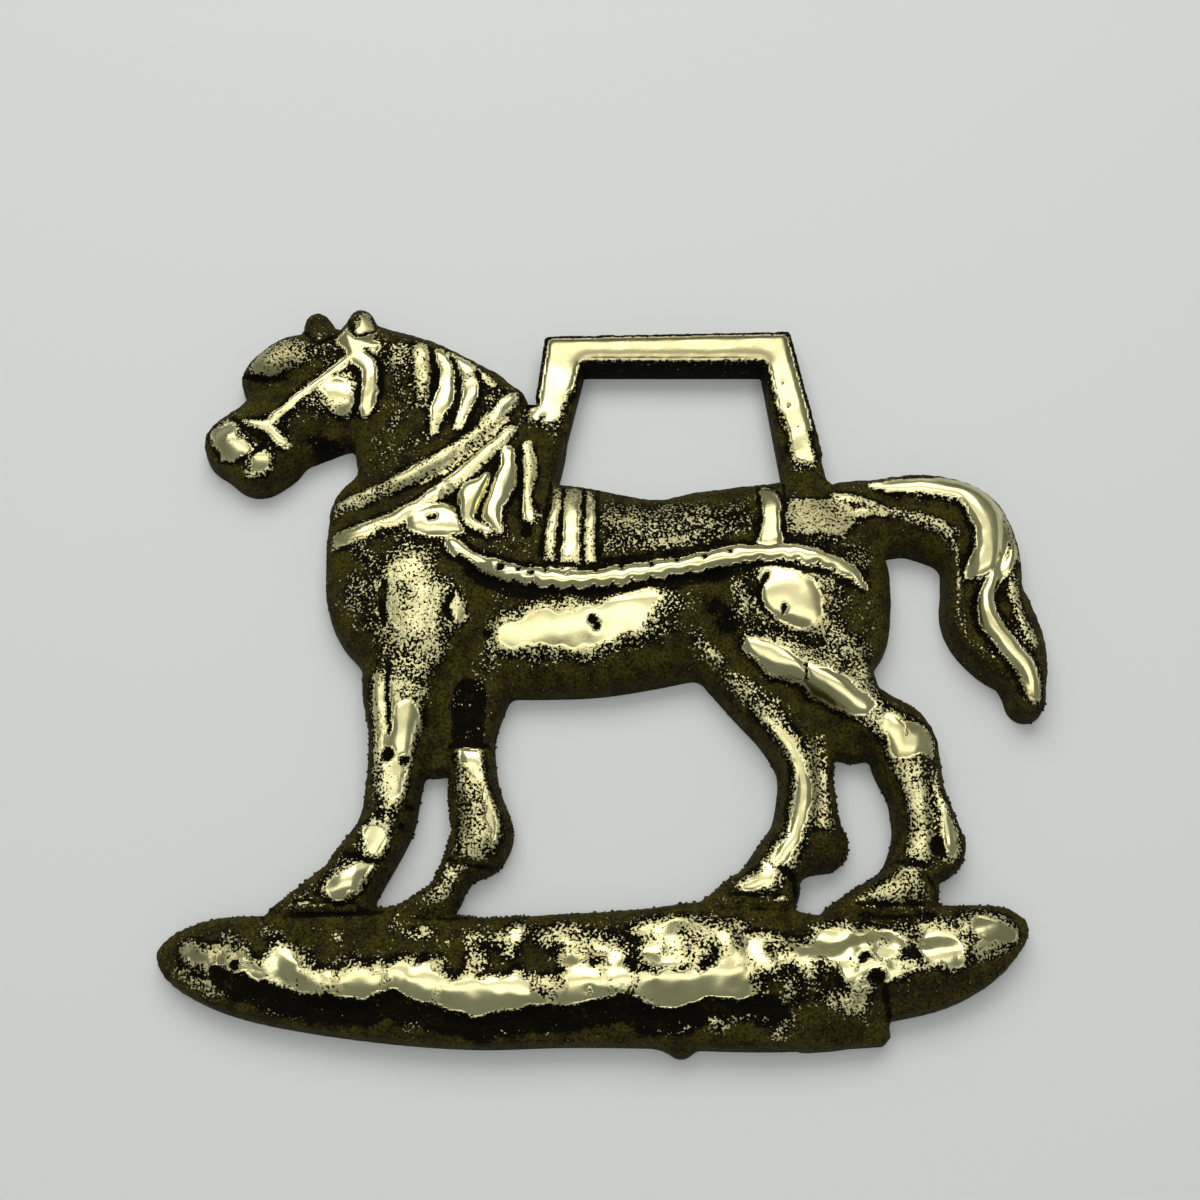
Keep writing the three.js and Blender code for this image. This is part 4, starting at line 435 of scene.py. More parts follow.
# ---- where dirt has settled: fade, strength, then [x, y, half width] --------------------------------
GRIME: Patches = {
    "belly": (2, 0.5, [[-9.9, -11.1, 1], [0, -10.8, 1.2], [8, -9.8, 1]]),
    "throat": (2, 0.5, [[-34, 15.6, 0.8], [-29, 17.7, 1]]),
    "elbow": (1.6, 0.5, [[-13.2, 1.8, 0.8], [-13.2, -3.1, 0.8], [-14.7, -8.4, 1.2]]),
    "forearm": (1.2, 0.7, [[-17.2, -15.1, 1.2], [-17.2, -18, 1.2]]),
    "flank": (1.6, 0.4, [[12.2, -1.8, 0.8], [13.4, -5.5, 0.8]]),
    "groin": (1.8, 0.7, [[15.6, -9.2, 0.4], [19.8, -12.2, 1], [24.9, -15.6, 1.4]]),
    "feather": (1, 0.6, [[22.3, -27.3, 1.4], [21.1, -29.1, 1]]),
    "plinth_foot": (1.2, 0.9, [[-37.6, -42.2, 0.6], [-29.7, -45.2, 0.8], [-19.8, -46.6, 1],
        [-7.9, -47.3, 1.2], [2, -47.1, 1.2], [11.9, -47.1, 1.2], [21.7, -46.7, 1.4], [32.7, -43.6, 1.2],
        [38.6, -40.2, 0.6]]),
    "nose": (1, 0.5, [[-38.4, 22.9, 1.2], [-35.7, 23, 0.8]]),
    "withers": (1.4, 0.5, [[-7.1, 16.8, 0.8], [-6.9, 11.3, 0.8]]),
    "low_neck": (3, 0.36, [[-27.5, 10.7, 1], [-22.1, 14.0, 1.6], [-19.5, 17.1, 1]]),
    "tail_root": (1.4, 0.5, [[30.3, 6.4, 1], [34.7, 6, 1], [37.7, 4.2, 0.6]]),
    "hind_web": (1.2, 0.7, [[23.5, -14.6, 1], [26.8, -16.8, 1]]),
}

# ---- painted shade and dark reflection: the patina painted black instead of olive under the plinth's crest, under the trace, in the throat and in the arm and flank hollows: fade, strength, then [x, y, half width] ---
PAINTED_SHADE: Patches = {
    "plinth_face": (0.5, 1.0, [[-37.8, -40.4, 1.2], [-34.2, -42.0, 1.2], [-29.5, -43.4, 1.2],
        [-26.3, -43.7, 1.2], [-23.1, -43.9, 1.2], [-20.5, -43.3, 1.2], [-18.5, -43.9, 1.2],
        [-14.6, -44.8, 1.2], [-11.3, -45.4, 1.2], [-9.4, -44.8, 1.2], [-5.5, -44.7, 1.2],
        [-1.7, -44.2, 1.2], [2.2, -43.7, 1.2], [4.9, -44.7, 1.2], [7.0, -44.8, 1.2], [10.2, -43.9, 1.2],
        [13.6, -43.6, 1.2], [17.0, -44.0, 1.2]]),
    "under_trace": (0.5, 1.0, [[-15.2, 3.1, 0.4], [-12.8, 0.9, 0.6], [-8.5, -1.0, 0.6], [-2.1, -1.6, 0.6],
        [5.3, -0.8, 0.5], [15.0, 1.5, 0.5], [24.5, 0.6, 0.4]]),
    "arm_panel": (0.25, 1.1, [[-13.8, -12.0, 1.6], [-13.8, -16.1, 1.6]]),
    "throat": (0.8, 1.0, [[-31.5, 17.4, 0.6], [-29.3, 16.6, 0.8]]),
    "flank": (1.0, 0.8, [[13.0, -3.1, 0.8], [14.3, -4.0, 1.0]]),
}

# ---- how brightly the straps and locks are rubbed, where it isn't the usual amount ---------------
STRAP_SHINE = {
    "mane_1": 0.72, "mane_2": 0.93, "mane_3": 0.9, "loin_strap": 1.0, "girth": 0.8, "pad": 0.84,
    "tail_inner": 0.62, "tail_rim": 0.62, "tassel_3": 0.85, "collar_upper": 0.76, "collar_lower": 0.83,
    "fore_sole": 1.05, "near_sole": 1.05, "far_sole": 1.05, "far_fore_sole": 0.95, "cheek_strap": 0.84,
    "throat_lash": 0.9, "poll": 0.9, "noseband": 0.9, "far_hind_shin": 0.8, "near_hind_tendon": 0.7,
}

# ---- where the bare metal is painted a darker straw, partly dulling and partly a painted dark reflection, as on the hanger's flat top, the rump and the tail: fade, strength, then [x, y, half width] ---
TARNISH_AND_DARK_REFLECTION: Patches = {
    "hanger_top": (0.6, 0.8, [[-5, 29.8, 2.2], [8, 29.8, 2.2], [20.8, 29.8, 2.2]]),
    "hanger_right": (1.0, 0.45, [[20.8, 27, 2.4], [23.4, 16.6, 2.4]]),
    "rump": (0.5, 0.55, [[22.0, 7.2, 2.2], [25.5, 7.8, 2.2]]),
    "loin_strap": (0.5, 0.5, [[18.3, 10.3, 1.2], [18.4, 5.2, 1.2]]),
    "tail_edge": (0.6, 0.6, [[38.3, 12.5, 0.9], [41.5, 11.6, 0.9], [44.1, 9.2, 1.0], [45.2, 6.1, 1.0],
        [45.6, 4.0, 0.8]]),
    "forelock": (1.0, 0.5, [[-38.1, 26.4, 1.8], [-36.2, 27.8, 1.8]]),
    "ear": (0.4, 0.7, [[-27.1, 30.8, 1.2], [-27, 32.9, 1.2]]),
    "poll": (0.8, 0.4, [[-30, 31.1, 1], [-28.4, 29.6, 1.4], [-26.3, 29.1, 1]]),
    "muzzle": (0.5, 0.35, [[-43, 17.9, 1.2], [-42, 17.3, 1.2]]),
    "plinth_tip": (1.5, 0.6, [[-41.5, -37.6, 1], [-37, -37.2, 1.4]]),
    "plinth_end": (1.5, 0.45, [[37.7, -36.1, 1], [40.4, -36.5, 1]]),
    "cloth": (1.5, 0.45, SHINE["cloth"][2]),
    "girth": (0.8, 0.4, [[-4.6, 10.5, 2], [-3.2, 7.5, 3]]),
    "thigh": (0.8, 0.3, [[17, -7.3, 1], [24.4, -11.5, 1.2]]),
}


def smooth_min(a: np.ndarray, b: np.ndarray, k: float) -> np.ndarray:
    """Minimum of two fields with the crease between them rounded over a length k."""
    h = np.clip(0.5 + 0.5 * (b - a) / k, 0, 1)
    return b + (a - b) * h - k * h * (1 - h)


def smooth_max(a: np.ndarray, b: np.ndarray, k: float) -> np.ndarray:
    """Maximum of two fields with the crease between them rounded over a length k."""
    return -smooth_min(-a, -b, k)


def smooth_step(low: float, high: float, value: np.ndarray) -> np.ndarray:
    """0 below low, 1 above high and an S-shaped rise between them."""
    t = np.clip((value - low) / (high - low), 0, 1)
    return t * t * (3 - 2 * t)


def curve_through(stations: Stations, steps: int) -> np.ndarray:
    """Catmull-Rom curve through stations of any number of columns.

    Args:
        stations: The rows that the curve passes through.
        steps: Points from one station to the next.

    Returns:
        One row for each point of the curve.
    """
    rows = np.asarray(stations, float)
    padded = np.vstack([2 * rows[0] - rows[1], rows, 2 * rows[-1] - rows[-2]])
    points = []
    for a, b, c, d in zip(padded[:-3], padded[1:-2], padded[2:-1], padded[3:]):
        for k in range(steps):
            t = k / steps
            points.append(0.5 * (2 * b + (c - a) * t + (2 * a - 5 * b + 4 * c - d) * t * t
                                 + (3 * b - a - 3 * c + d) * t ** 3))
    points.append(rows[-1])
    return np.array(points)


def pit_reach(x: np.ndarray, y: np.ndarray, pit: list[float]) -> np.ndarray:
    """Distance from a pit's middle, 0 there and 1 at its edge; pits are a little longer in y."""
    return np.hypot(x - pit[0], (y - pit[1]) * PIT_SQUASH) / pit[2]


@dataclass
class Hit:
    """What a stroke says about a set of points."""

    where: np.ndarray  # the points that are near the stroke
    outside: np.ndarray  # distance outside it, negative inside
    across: np.ndarray  # 0 on its middle line and 1 at its edge
    height: np.ndarray  # its height or depth at the nearest station
    along: np.ndarray  # distance along it
    side: np.ndarray  # positive to the left of its direction

    def raise_to(self, total: np.ndarray, value: np.ndarray) -> None:
        """Lifts a grid to the value wherever the stroke is near and the value is larger."""
        total[self.where] = np.maximum(total[self.where], value)


@dataclass
class Stroke:
    """A brush stroke whose half width and height vary along it."""

    stations: Stations
    steps: int = 4

    def at(self, x: np.ndarray, y: np.ndarray, margin: float) -> Hit:
        """Measures points against the stroke.

        Args:
            x: Their x coordinates.
            y: Their y coordinates.
            margin: How far beyond the stroke's widest edge points still count.

        Returns:
            The measures of the points that are near.
        """
        rows = curve_through(self.stations, self.steps)
        if rows.shape[1] < 4:
            rows = np.column_stack([rows, np.ones(len(rows))])
        reach = rows[:, 2].max() + margin
        near = ((x > rows[:, 0].min() - reach) & (x < rows[:, 0].max() + reach)
                & (y > rows[:, 1].min() - reach) & (y < rows[:, 1].max() + reach))
        px, py = x[near], y[near]
        outside = np.full(px.shape, 1e3)
        across, height, along, side = (np.zeros(px.shape) for _ in range(4))
        travelled = 0.0
        for a, b in zip(rows[:-1], rows[1:]):
            step = b[:2] - a[:2]
            length = math.hypot(*step) + 1e-9
            t = np.clip(((px - a[0]) * step[0] + (py - a[1]) * step[1]) / length ** 2, 0, 1)
            dx, dy = px - a[0] - t * step[0], py - a[1] - t * step[1]
            distance = np.hypot(dx, dy)
            radius = a[2] + (b[2] - a[2]) * t
            better = distance - radius < outside
            outside = np.where(better, distance - radius, outside)
            across = np.where(better, distance / radius, across)
            height = np.where(better, a[3] + (b[3] - a[3]) * t, height)
            along = np.where(better, travelled + t * length, along)
            side = np.where(better, step[0] * dy - step[1] * dx, side)
            travelled += length
        return Hit(near, outside, across, height, along, side)


def polygon_distance(x: np.ndarray, y: np.ndarray, corners: Stations) -> np.ndarray:
    """Signed distance to a closed polygon.

    Args:
        x: The points' x coordinates.
        y: The points' y coordinates.
        corners: The polygon's corners in order.

    Returns:
        Millimetres outside the polygon, negative inside.
    """
    nearest = np.full(x.shape, 1e9)
    inside = np.zeros(x.shape, bool)
    for (ax, ay), (bx, by) in zip(corners, corners[1:] + corners[:1]):
        dx, dy = bx - ax, by - ay
        t = np.clip(((x - ax) * dx + (y - ay) * dy) / (dx * dx + dy * dy), 0, 1)
        nearest = np.minimum(nearest, np.hypot(x - ax - t * dx, y - ay - t * dy))
        if dy != 0:
            inside ^= ((ay > y) != (by > y)) & (x < dx * (y - ay) / dy + ax)
    return np.where(inside, -nearest, nearest)


def blur(grid: np.ndarray, sigma: float) -> np.ndarray:
    """Gaussian blur of a grid.

    Args:
        grid: The values.
        sigma: Spread of the blur, in cells.

    Returns:
        The blurred grid, of the same shape.
    """
    reach = max(1, int(3 * sigma))
    weights = np.exp(-0.5 * (np.arange(-reach, reach + 1) / sigma) ** 2)
    weights /= weights.sum()
    for axis in (0, 1):
        padded = np.pad(grid, [(reach, reach) if i == axis else (0, 0) for i in (0, 1)], mode="edge")
        row = np.arange(grid.shape[axis])
        grid = sum(w * np.take(padded, row + i, axis) for i, w in enumerate(weights))
    return grid


def uneven(shape: tuple[int, ...], sigma: float, seed: int) -> np.ndarray:
    """A smooth random grid of mean 0 and spread 1, with features about three sigma cells wide."""
    smooth = blur(np.random.default_rng(seed).standard_normal(shape), sigma)
    return smooth / smooth.std()


@dataclass
class Relief:
    """The casting as functions of x and y, in the drawing's millimetres."""

    edge: float = 2.3  # height of the rounded shoulder all round
    blend: float = 0.8  # how far neighbouring masses run into each other in the outline
    flow: float = 0.7  # and in the height of the face
    hanger_height: float = 4.0
    hanger_bevel: float = 0.8
    hanger_fall: float = 0.35  # how far in from its edge a bar reaches its full height
    hanger_outer: Stations = field(default_factory=lambda: [
        [-7.9, 19], [-6.4, 31.4], [22.1, 32.05], [25.9, 12], [-5, 10]])
    hanger_inner: Stations = field(default_factory=lambda: [
        [-6.2, 8], [-1.85, 27.6], [18.85, 27.6], [21.4, 8]])
    heel: Stations = field(default_factory=lambda: [
        [20, -41], [28.6, -42], [28.7, -46.5], [27.9, -47.2], [20, -47.7]])
    heel_rise: float = 1.4  # how far the plinth's squared end stands above the shoulder
    heel_fall: float = 1.2
    heel_blend: float = 0.6
    hanger_blend: float = 0.9
    join: float = 0.5  # how softly the heel and the hanger run into the face
    curve_steps: int = 5  # points from station to station along a mass
    crown_roundness: float = 2.3
    crown_steepness: float = 0.6
    scallop: float = 0.3  # depth of the scallops of the trace's lower edge, as a share of its half width
    scallop_pitch: float = 2.05
    soften: float = 2.2  # grid cells over which the creases of the plain masses are eased
    wander: float = 0.08  # how far hand carving strays from its line
    ripple: float = 0.012  # slow swell of the whole face
    plinth_top: tuple[float, float] = (-35.5, -38.5)  # y over which the plinth's uneven ground sets in
    lumpiness: float = 0.07  # swing of that ground
    hammering: float = 0.009  # spread of the small unevenness of the whole face
    groove_share: float = 0.7
    strap_spread: float = 1.35  # how much wider the foot of a strap is than its crown
    shore: float = 1.2  # how far in from the outline the carving reaches its full height

    def hanger(self, x: np.ndarray, y: np.ndarray) -> np.ndarray:
        """Signed distance to the three bars of the hanger."""
        slot = polygon_distance(x, y, self.hanger_inner)
        return np.maximum(polygon_distance(x, y, self.hanger_outer), -slot)

    def outline(self, x: np.ndarray, y: np.ndarray) -> np.ndarray:
        """Distance from the casting's outline.

        Args:
            x: The points' x coordinates.
            y: The points' y coordinates.

        Returns:
            Millimetres outside the outline, negative inside.
        """
        distance = np.full(x.shape, 1e3)
        for stations in MASSES.values():
            hit = Stroke(stations, self.curve_steps).at(x, y, 6)
            distance[hit.where] = smooth_min(distance[hit.where], hit.outside, self.blend)
        distance = smooth_min(distance, polygon_distance(x, y, self.heel), self.heel_blend)
        return smooth_min(distance, self.hanger(x, y), self.hanger_blend)

    def body_height(self, x: np.ndarray, y: np.ndarray) -> np.ndarray:
        """Height of the plain masses.

        Args:
            x: The points' x coordinates.
            y: The points' y coordinates.

        Returns:
            Millimetres above the back.
        """
        height = np.full(x.shape, -5.0)
        for stations in MASSES.values():
            hit = Stroke(stations, self.curve_steps).at(x, y, 4)
            crown = (1 - np.clip(hit.across, 0, 1) ** self.crown_roundness) ** self.crown_steepness
            inner = self.edge + (hit.height - self.edge) * crown
            own = np.where(hit.across < 1, inner, self.edge - 1.2 * hit.outside)
            height[hit.where] = smooth_max(height[hit.where], own, self.flow)
        heel = polygon_distance(x, y, self.heel)
        inner = self.edge + self.heel_rise * (1 - np.exp(np.minimum(heel, 0) / self.heel_fall))
        height = smooth_max(height, np.where(heel < 0, inner, self.edge - 2 * heel), self.join)
        bar = self.hanger(x, y)
        top = self.hanger_height - self.hanger_bevel * np.exp(np.minimum(bar, 0) / self.hanger_fall)
        height = smooth_max(height, top - 1.5 * np.maximum(bar, 0), self.join)
        return np.maximum(height, 0.75 * self.edge)

    def stray(self, x: np.ndarray, y: np.ndarray) -> tuple[np.ndarray, np.ndarray]:
        """Small smooth offsets that make carved lines look cut by hand.

        Args:
            x: The points' x coordinates.
            y: The points' y coordinates.

        Returns:
            Offsets in x and in y.
        """
        dx = np.sin(1.7 * x + 0.6 * y + 1) + np.sin(0.9 * y - 1.3 * x + 2) + 0.6 * np.sin(3.1 * y + 0.7 * x)
        dy = np.sin(1.4 * y - 0.8 * x + 4) + np.sin(1.1 * x + 1.9 * y) + 0.6 * np.sin(2.9 * x - 0.4 * y + 1)
        return self.wander * dx, self.wander * dy

    def across(self, name: str, hit: Hit) -> np.ndarray:
        """Distance across a raised stroke, with the scallops of the trace's lower edge.

        Args:
            name: The stroke's name.
            hit: What it says about the points.

        Returns:
            0 on the stroke's middle line and 1 at its edge.
        """
        if name != "trace":
            return hit.across
        wave = np.abs(np.sin(math.pi * hit.along / self.scallop_pitch))
        return hit.across / np.where(hit.side < 0, 1 - self.scallop + 1.7 * self.scallop * wave, 1)

    def carving(self, x: np.ndarray, y: np.ndarray) -> np.ndarray:
        """What the carved work adds to the plain masses.

        Args:
            x: The points' x coordinates.
            y: The points' y coordinates.

        Returns:
            The rise at each point, negative in creases.
        """
        dx, dy = self.stray(x, y)
        cx, cy = x + dx, y + dy
        rise = np.zeros(x.shape)
        for name, stations in (RAISED | FINE_RAISED).items():
            hit = Stroke(stations).at(cx, cy, 0.5)
            crown = CROWNS.get(name, Crown.SOFT)
            spread = self.strap_spread if crown is Crown.SOFT else 1
            hit.raise_to(rise, hit.height * crown.cap(self.across(name, hit) / spread))
        for stations in SWELLS.values():
            hit = Stroke(stations).at(x, y, 0)
            rise[hit.where] += hit.height * (1 - np.clip(hit.across, 0, 1) ** 2) ** 2
        cut = np.zeros(x.shape)
        for stations in GROOVES.values():
            hit = Stroke(stations).at(cx, cy, 0)
            hit.raise_to(cut, self.groove_share * hit.height * (1 - np.clip(hit.across, 0, 1) ** 2))
        for pit in PITS:
            cut = np.maximum(cut, pit[3] * (1 - np.clip(pit_reach(cx, cy, pit), 0, 1) ** 2))
        return rise - cut

    def height(self, x: np.ndarray, y: np.ndarray, outline: np.ndarray) -> np.ndarray:
        """Height of the finished face.

        Args:
            x: The points' x coordinates.
            y: The points' y coordinates.
            outline: The outline distance at the same points.

        Returns:
            Millimetres above the back.
        """
        shore = np.clip(-outline / self.shore, 0, 1)
        waves = np.sin(1.3 * x + 0.9 * y) + np.sin(1.7 * y - 0.8 * x + 1) + np.sin(0.9 * x - 1.2 * y + 3)
        ripple = self.ripple * waves
        plinth = smooth_step(*self.plinth_top, y)
        lumps = uneven(x.shape, 3.4, seed=5) + 0.6 * uneven(x.shape, 1.7, seed=6)
        ripple = ripple + self.lumpiness * plinth * lumps
        ripple = ripple + self.hammering * uneven(x.shape, 1.8, seed=9)
        body = blur(self.body_height(x, y), self.soften)
        return np.maximum(body + shore * (self.carving(x, y) + ripple), 0.7 * self.edge)


@dataclass
class Field2D:
    """A quantity sampled on a square grid, read between its samples."""

    values: np.ndarray
    origin: tuple[float, float]
    step: float

    def at(self, points: np.ndarray) -> np.ndarray:
        """Reads the field between its samples.

        Args:
            points: One row of coordinates for each point, x and y first.

        Returns:
            The bilinear value at each point.
        """
        u = (points[:, 0] - self.origin[0]) / self.step
        v = (points[:, 1] - self.origin[1]) / self.step
        c = np.clip(u.astype(int), 0, self.values.shape[1] - 2)
        r = np.clip(v.astype(int), 0, self.values.shape[0] - 2)
        s, t = u - c, v - r
        g = self.values
        return ((g[r, c] * (1 - s) + g[r, c + 1] * s) * (1 - t)
                + (g[r + 1, c] * (1 - s) + g[r + 1, c + 1] * s) * t)


@dataclass
class WearMap:
    """How bright each spot of the face is and how black its patina is, from the relief, from handling and
    from painted shade and dark reflections.
    """

    relief: Relief
    local_width: float = 2.0  # mm over which a ridge counts as standing proud
    reach: float = 2.3  # how many fades away a rubbed patch dies out
    ridge: float = 0.35  # mm that a fully bright ridge stands proud
    ridge_shine: float = 0.22
    glare: float = 2.4  # how fast metal brightens beyond the rubbing glare_from
    glare_from: float = 0.7
    grime_dirt: float = 0.7
    cleaning: float = 0.6  # how much of the grime rubbing takes away
    hollow_dirt: float = 0.25
    seam_dirt: float = 2.4
    plinth_top: tuple[float, float] = (-35.0, -37.5)  # y over which the plinth's stronger blotches set in
    dullest: float = -0.55
    brightest: float = 1.8
    base: float = -0.16  # the open face, neither rubbed nor grimy
    blotch: float = 1.1  # mm, size of the blotches that wear and patina make
    strap_shine: float = 0.97
    fine_shine: float = 0.8
    soft_edge: tuple[float, float] = (1.4, 0.85)  # where the shine of a soft strap fades out and is full
    crisp_edge: tuple[float, float] = (1.14, 0.88)  # and of a domed or flat one
    full_groove: float = 0.45  # depth from which a groove is packed with dirt
    full_pit: float = 0.35

    def field(self, table: Patches, x: np.ndarray, y: np.ndarray) -> np.ndarray:
        """Strength of rubbed or dirty patches.

        Args:
            table: Fade, strength and stations of each patch.
            x: The points' x coordinates.
            y: The points' y coordinates.

        Returns:
            The largest strength at each point.
        """
        total = np.zeros(x.shape)
        for fade, strength, stations in table.values():
            reach = self.reach * fade
            hit = Stroke(stations).at(x, y, reach)
            hit.raise_to(total, strength * (1 - np.clip(hit.outside / reach, 0, 1)) ** 2)
        return total

    def straps(self, x: np.ndarray, y: np.ndarray) -> np.ndarray:
        """Shine of the raised straps and locks, brightest along their middles.

        Args:
            x: The points' x coordinates.
            y: The points' y coordinates.

        Returns:
            The shine at each point, 0 away from them.
        """
        total = np.zeros(x.shape)
        for name, stations in (RAISED | FINE_RAISED).items():
            hit = Stroke(stations).at(x, y, 0.7)
            strength = STRAP_SHINE.get(name, self.fine_shine if name in FINE_RAISED else self.strap_shine)
            soft = CROWNS.get(name, Crown.SOFT) is Crown.SOFT
            edge = self.soft_edge if soft else self.crisp_edge
            hit.raise_to(total, strength * smooth_step(*edge, self.relief.across(name, hit)))
        return total

    def seams(self, x: np.ndarray, y: np.ndarray) -> np.ndarray:
        """Dirt packed into the creases, the punched dots and the pits.

        Args:
            x: The points' x coordinates.
            y: The points' y coordinates.

        Returns:
            0 where it is clean to 1 where it is packed.
        """
        total = np.zeros(x.shape)
        for stations in GROOVES.values():
            hit = Stroke(stations).at(x, y, 0.1)
            packed = np.clip(hit.height / self.full_groove, 0, 1)
            hit.raise_to(total, packed * (1 - np.clip(hit.across, 0, 1) ** 3))
        for pit in PITS:
            packed = min(1, pit[3] / self.full_pit)
            total = np.maximum(total, packed * (1 - np.clip(pit_reach(x, y, pit), 0, 1) ** 3))
        return total

    def rim(self, x: np.ndarray, y: np.ndarray, outline: np.ndarray) -> np.ndarray:
        """How far the wear may reach towards the outline.

        Args:
            x: The points' x coordinates.
            y: The points' y coordinates.
            outline: The outline distance at the same points.

        Returns:
            0 at the dull rim to 1 on the open face.
        """
        on_hanger = (y > 19) & (self.relief.hanger(x, y) < 0.3)
        rim = np.where(on_hanger, smooth_step(0.0, 0.35, -outline), smooth_step(0.45, 2.1, -outline))
        worn = np.clip(self.field({name: SHINE[name] for name in WORN_EDGES}, x, y) / 0.6, 0, 1)
        return np.maximum(rim, worn * smooth_step(0.1, 0.9, -outline))

    def polish(self, x: np.ndarray, y: np.ndarray, outline: np.ndarray, height: np.ndarray,
               step: float) -> np.ndarray:
        """Brightness of the metal, from dark patina to clean brass.

        Args:
            x: The points' x coordinates.
            y: The points' y coordinates.
            outline: The outline distance at the same points.
            height: The height of the face there.
            step: Spacing of the grid, in mm.

        Returns:
            A value from dullest to brightest; the finish shows bare metal above about 0.5.
        """
        inside = (outline < 0).astype(float)
        sigma = self.local_width / step
        level = blur(height * inside, sigma) / np.maximum(blur(inside, sigma), 1e-3)
        proud = height - level
        dx, dy = self.relief.stray(x, y)
        rubbed = np.maximum(self.field(SHINE, x + 2 * dx, y + 2 * dy), self.straps(x + dx, y + dy))
        value = self.base + self.ridge_shine * np.clip(proud / self.ridge, -1, 1) + rubbed
        value += self.glare * np.maximum(rubbed - self.glare_from, 0)
        value -= self.grime_dirt * self.field(GRIME, x, y) * np.clip(1 - self.cleaning * rubbed, 0, 1)
        value -= self.hollow_dirt * np.clip(-proud / 0.4 - 0.3, 0, 1)
        plinth = smooth_step(*self.plinth_top, y)
        value += (0.13 + 0.3 * plinth) * uneven(x.shape, self.blotch / step, seed=31)
        value += (0.10 + 0.2 * plinth) * uneven(x.shape, 0.4 * self.blotch / step, seed=32)
        value -= self.seam_dirt * self.seams(x + dx, y + dy)
        ceiling = self.dullest + (self.brightest - self.dullest) * self.rim(x, y, outline)
        return np.minimum(np.clip(value, self.dullest, self.brightest), ceiling)

    def soot_and_shade(self, polish: np.ndarray, x: np.ndarray, y: np.ndarray) -> np.ndarray:
        """Blackness of the patina: black with dirt in creases and where it meets bright metal, black as
        painted shade and dark reflection in the patches listed for that, olive in the open.

        Args:
            polish: The polish at the points.
            x: Their x coordinates.
            y: Their y coordinates.

        Returns:
            0 where it is olive to 1 where it is black.
        """
        near_metal = smooth_step(-0.35, 0.25, blur(polish, 2.5))
        creases = np.maximum(near_metal, self.seams(x, y))
        # painted shade: the patina is painted black under the plinth's crest, under the trace and in the
        # hollows where shade and dark reflections fall
        return np.maximum(creases, np.clip(self.field(PAINTED_SHADE, x, y), 0, 1))

    def tarnish_and_dark_reflection(self, x: np.ndarray, y: np.ndarray) -> np.ndarray:
        """How far the bare metal is painted straw, 0 to 1: partly dulling, partly a painted dark
        reflection.
        """
        return np.clip(self.field(TARNISH_AND_DARK_REFLECTION, x, y), 0, 1)


@dataclass
class Skin:
    """Vertices, faces and per-vertex values of a mesh under construction."""

    points: np.ndarray
    faces: list[tuple[int, ...]]
    wear: dict[str, np.ndarray]


